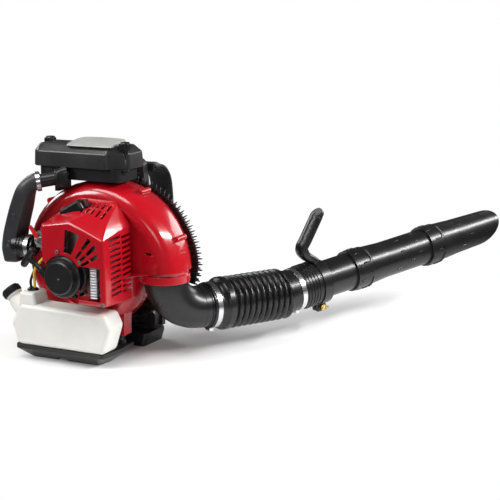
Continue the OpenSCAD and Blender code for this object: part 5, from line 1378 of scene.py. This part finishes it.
class BLOWER_OT_studio(bpy.types.Operator):
    """Camera, pale floor, soft lamps and white surround"""

    bl_idname = "blower.studio"
    bl_label = "Studio"

    def execute(self, context):
        self.camera(context)
        self.floor()
        for name, place, aim, wide, tall, power in LAMPS:
            data = bpy.data.lights.new(name, "AREA")
            data.shape, data.size, data.size_y, data.energy = "RECTANGLE", wide, tall, power
            stand(name, data, place, np.array(place) - np.array(aim))
        self.surround(context)
        return {"FINISHED"}

    def camera(self, context):
        data = bpy.data.cameras.new("view_camera")
        data.sensor_width, data.lens = 36.0, 86.4
        data.clip_start, data.clip_end = 0.05, 50
        context.scene.camera = stand("view_camera", data, CAMERA_PLACE, -np.array(CAMERA_LOOK))

    def floor(self):
        """A pale floor that clears to nothing away from the machine."""
        h = FLOOR_HALF
        mesh = mesh_from("floor", [[-h, -h, 0], [h, -h, 0], [h, h, 0], [-h, h, 0]],
                         [[0, 1, 2, 3]], False)
        material, tree, shader, where = start_material("floor_pale")
        tree.nodes.remove(shader)
        diffuse = add_node(tree, "ShaderNodeBsdfDiffuse", Color=(0.86, 0.86, 0.86, 1))
        clear = add_node(tree, "ShaderNodeBsdfTransparent")
        reach = add_node(tree, "ShaderNodeVectorMath", {"operation": "DISTANCE"},
                         _0=where["Object"], _1=(0.25, 0.2, 0.0))
        fade = add_node(tree, "ShaderNodeMapRange", {"interpolation_type": "SMOOTHSTEP"},
                        From_Min=FLOOR_FADE[0], From_Max=FLOOR_FADE[1],
                        Value=reach.outputs["Value"])
        mix = add_node(tree, "ShaderNodeMixShader", _0=fade.outputs["Result"],
                       _1=diffuse.outputs[0], _2=clear.outputs[0])
        tree.links.new(mix.outputs[0], tree.nodes["Material Output"].inputs["Surface"])
        mesh.materials.append(material)
        floor = bpy.data.objects.new("floor", mesh)
        bpy.context.scene.collection.objects.link(floor)

    def surround(self, context):
        """White to the camera, dimmer to soft light, and dim in reflections."""
        world = bpy.data.worlds.new("studio_white")
        context.scene.world = world
        world.use_nodes = True
        tree = world.node_tree
        tree.nodes.clear()
        rays = add_node(tree, "ShaderNodeLightPath").outputs
        seen = math_node(tree, "ADD", rays["Is Camera Ray"], rays["Is Transmission Ray"],
                         clamp=True)
        shine = math_node(tree, "MULTIPLY", rays["Is Glossy Ray"], SURROUND_SHINE)
        soft = math_node(tree, "MULTIPLY", rays["Is Diffuse Ray"], SURROUND_SOFT)
        level = math_node(tree, "MAXIMUM", seen, math_node(tree, "MAXIMUM", shine, soft))
        back = add_node(tree, "ShaderNodeBackground", Strength=level, Color=(1, 1, 1, 1))
        add_node(tree, "ShaderNodeOutputWorld", Surface=back.outputs[0])
        context.scene.view_settings.view_transform = "Standard"


# ---------------------------------------------------------------- panel and run


class BLOWER_PT_panel(bpy.types.Panel):
    """Lists the blower's steps and settings"""

    bl_idname = "BLOWER_PT_panel"
    bl_label = "Backpack Blower"
    bl_space_type = "VIEW_3D"
    bl_region_type = "UI"
    bl_category = "Blower"

    def draw(self, context):
        layout = self.layout
        for settings in (context.scene.blower_colours, context.scene.blower_sizes):
            box = layout.box()
            for name in settings.__annotations__:
                box.prop(settings, name)
        for step in STEPS:
            layout.operator(step.bl_idname)


STEPS = (BLOWER_OT_red_housings, BLOWER_OT_engine, BLOWER_OT_fuel_tank, BLOWER_OT_air_cleaner,
         BLOWER_OT_duct, BLOWER_OT_tube, BLOWER_OT_tube_marks, BLOWER_OT_carrying_frame,
         BLOWER_OT_fasteners, BLOWER_OT_debris_fringe, BLOWER_OT_bellows, BLOWER_OT_fuel_lines,
         BLOWER_OT_rope, BLOWER_OT_straps, BLOWER_OT_back_pad, BLOWER_OT_studio)
CLASSES = (BlowerColours, BlowerSizes, *STEPS, BLOWER_PT_panel)


def register():
    for item in CLASSES:
        bpy.utils.register_class(item)
    bpy.types.Scene.blower_colours = PointerProperty(type=BlowerColours)
    bpy.types.Scene.blower_sizes = PointerProperty(type=BlowerSizes)


def unregister():
    del bpy.types.Scene.blower_colours
    del bpy.types.Scene.blower_sizes
    for item in reversed(CLASSES):
        bpy.utils.unregister_class(item)


def main():
    register()
    make_materials()
    for step in STEPS:
        area, name = step.bl_idname.split(".")
        getattr(getattr(bpy.ops, area), name)()


if __name__ == "__main__":
    main()
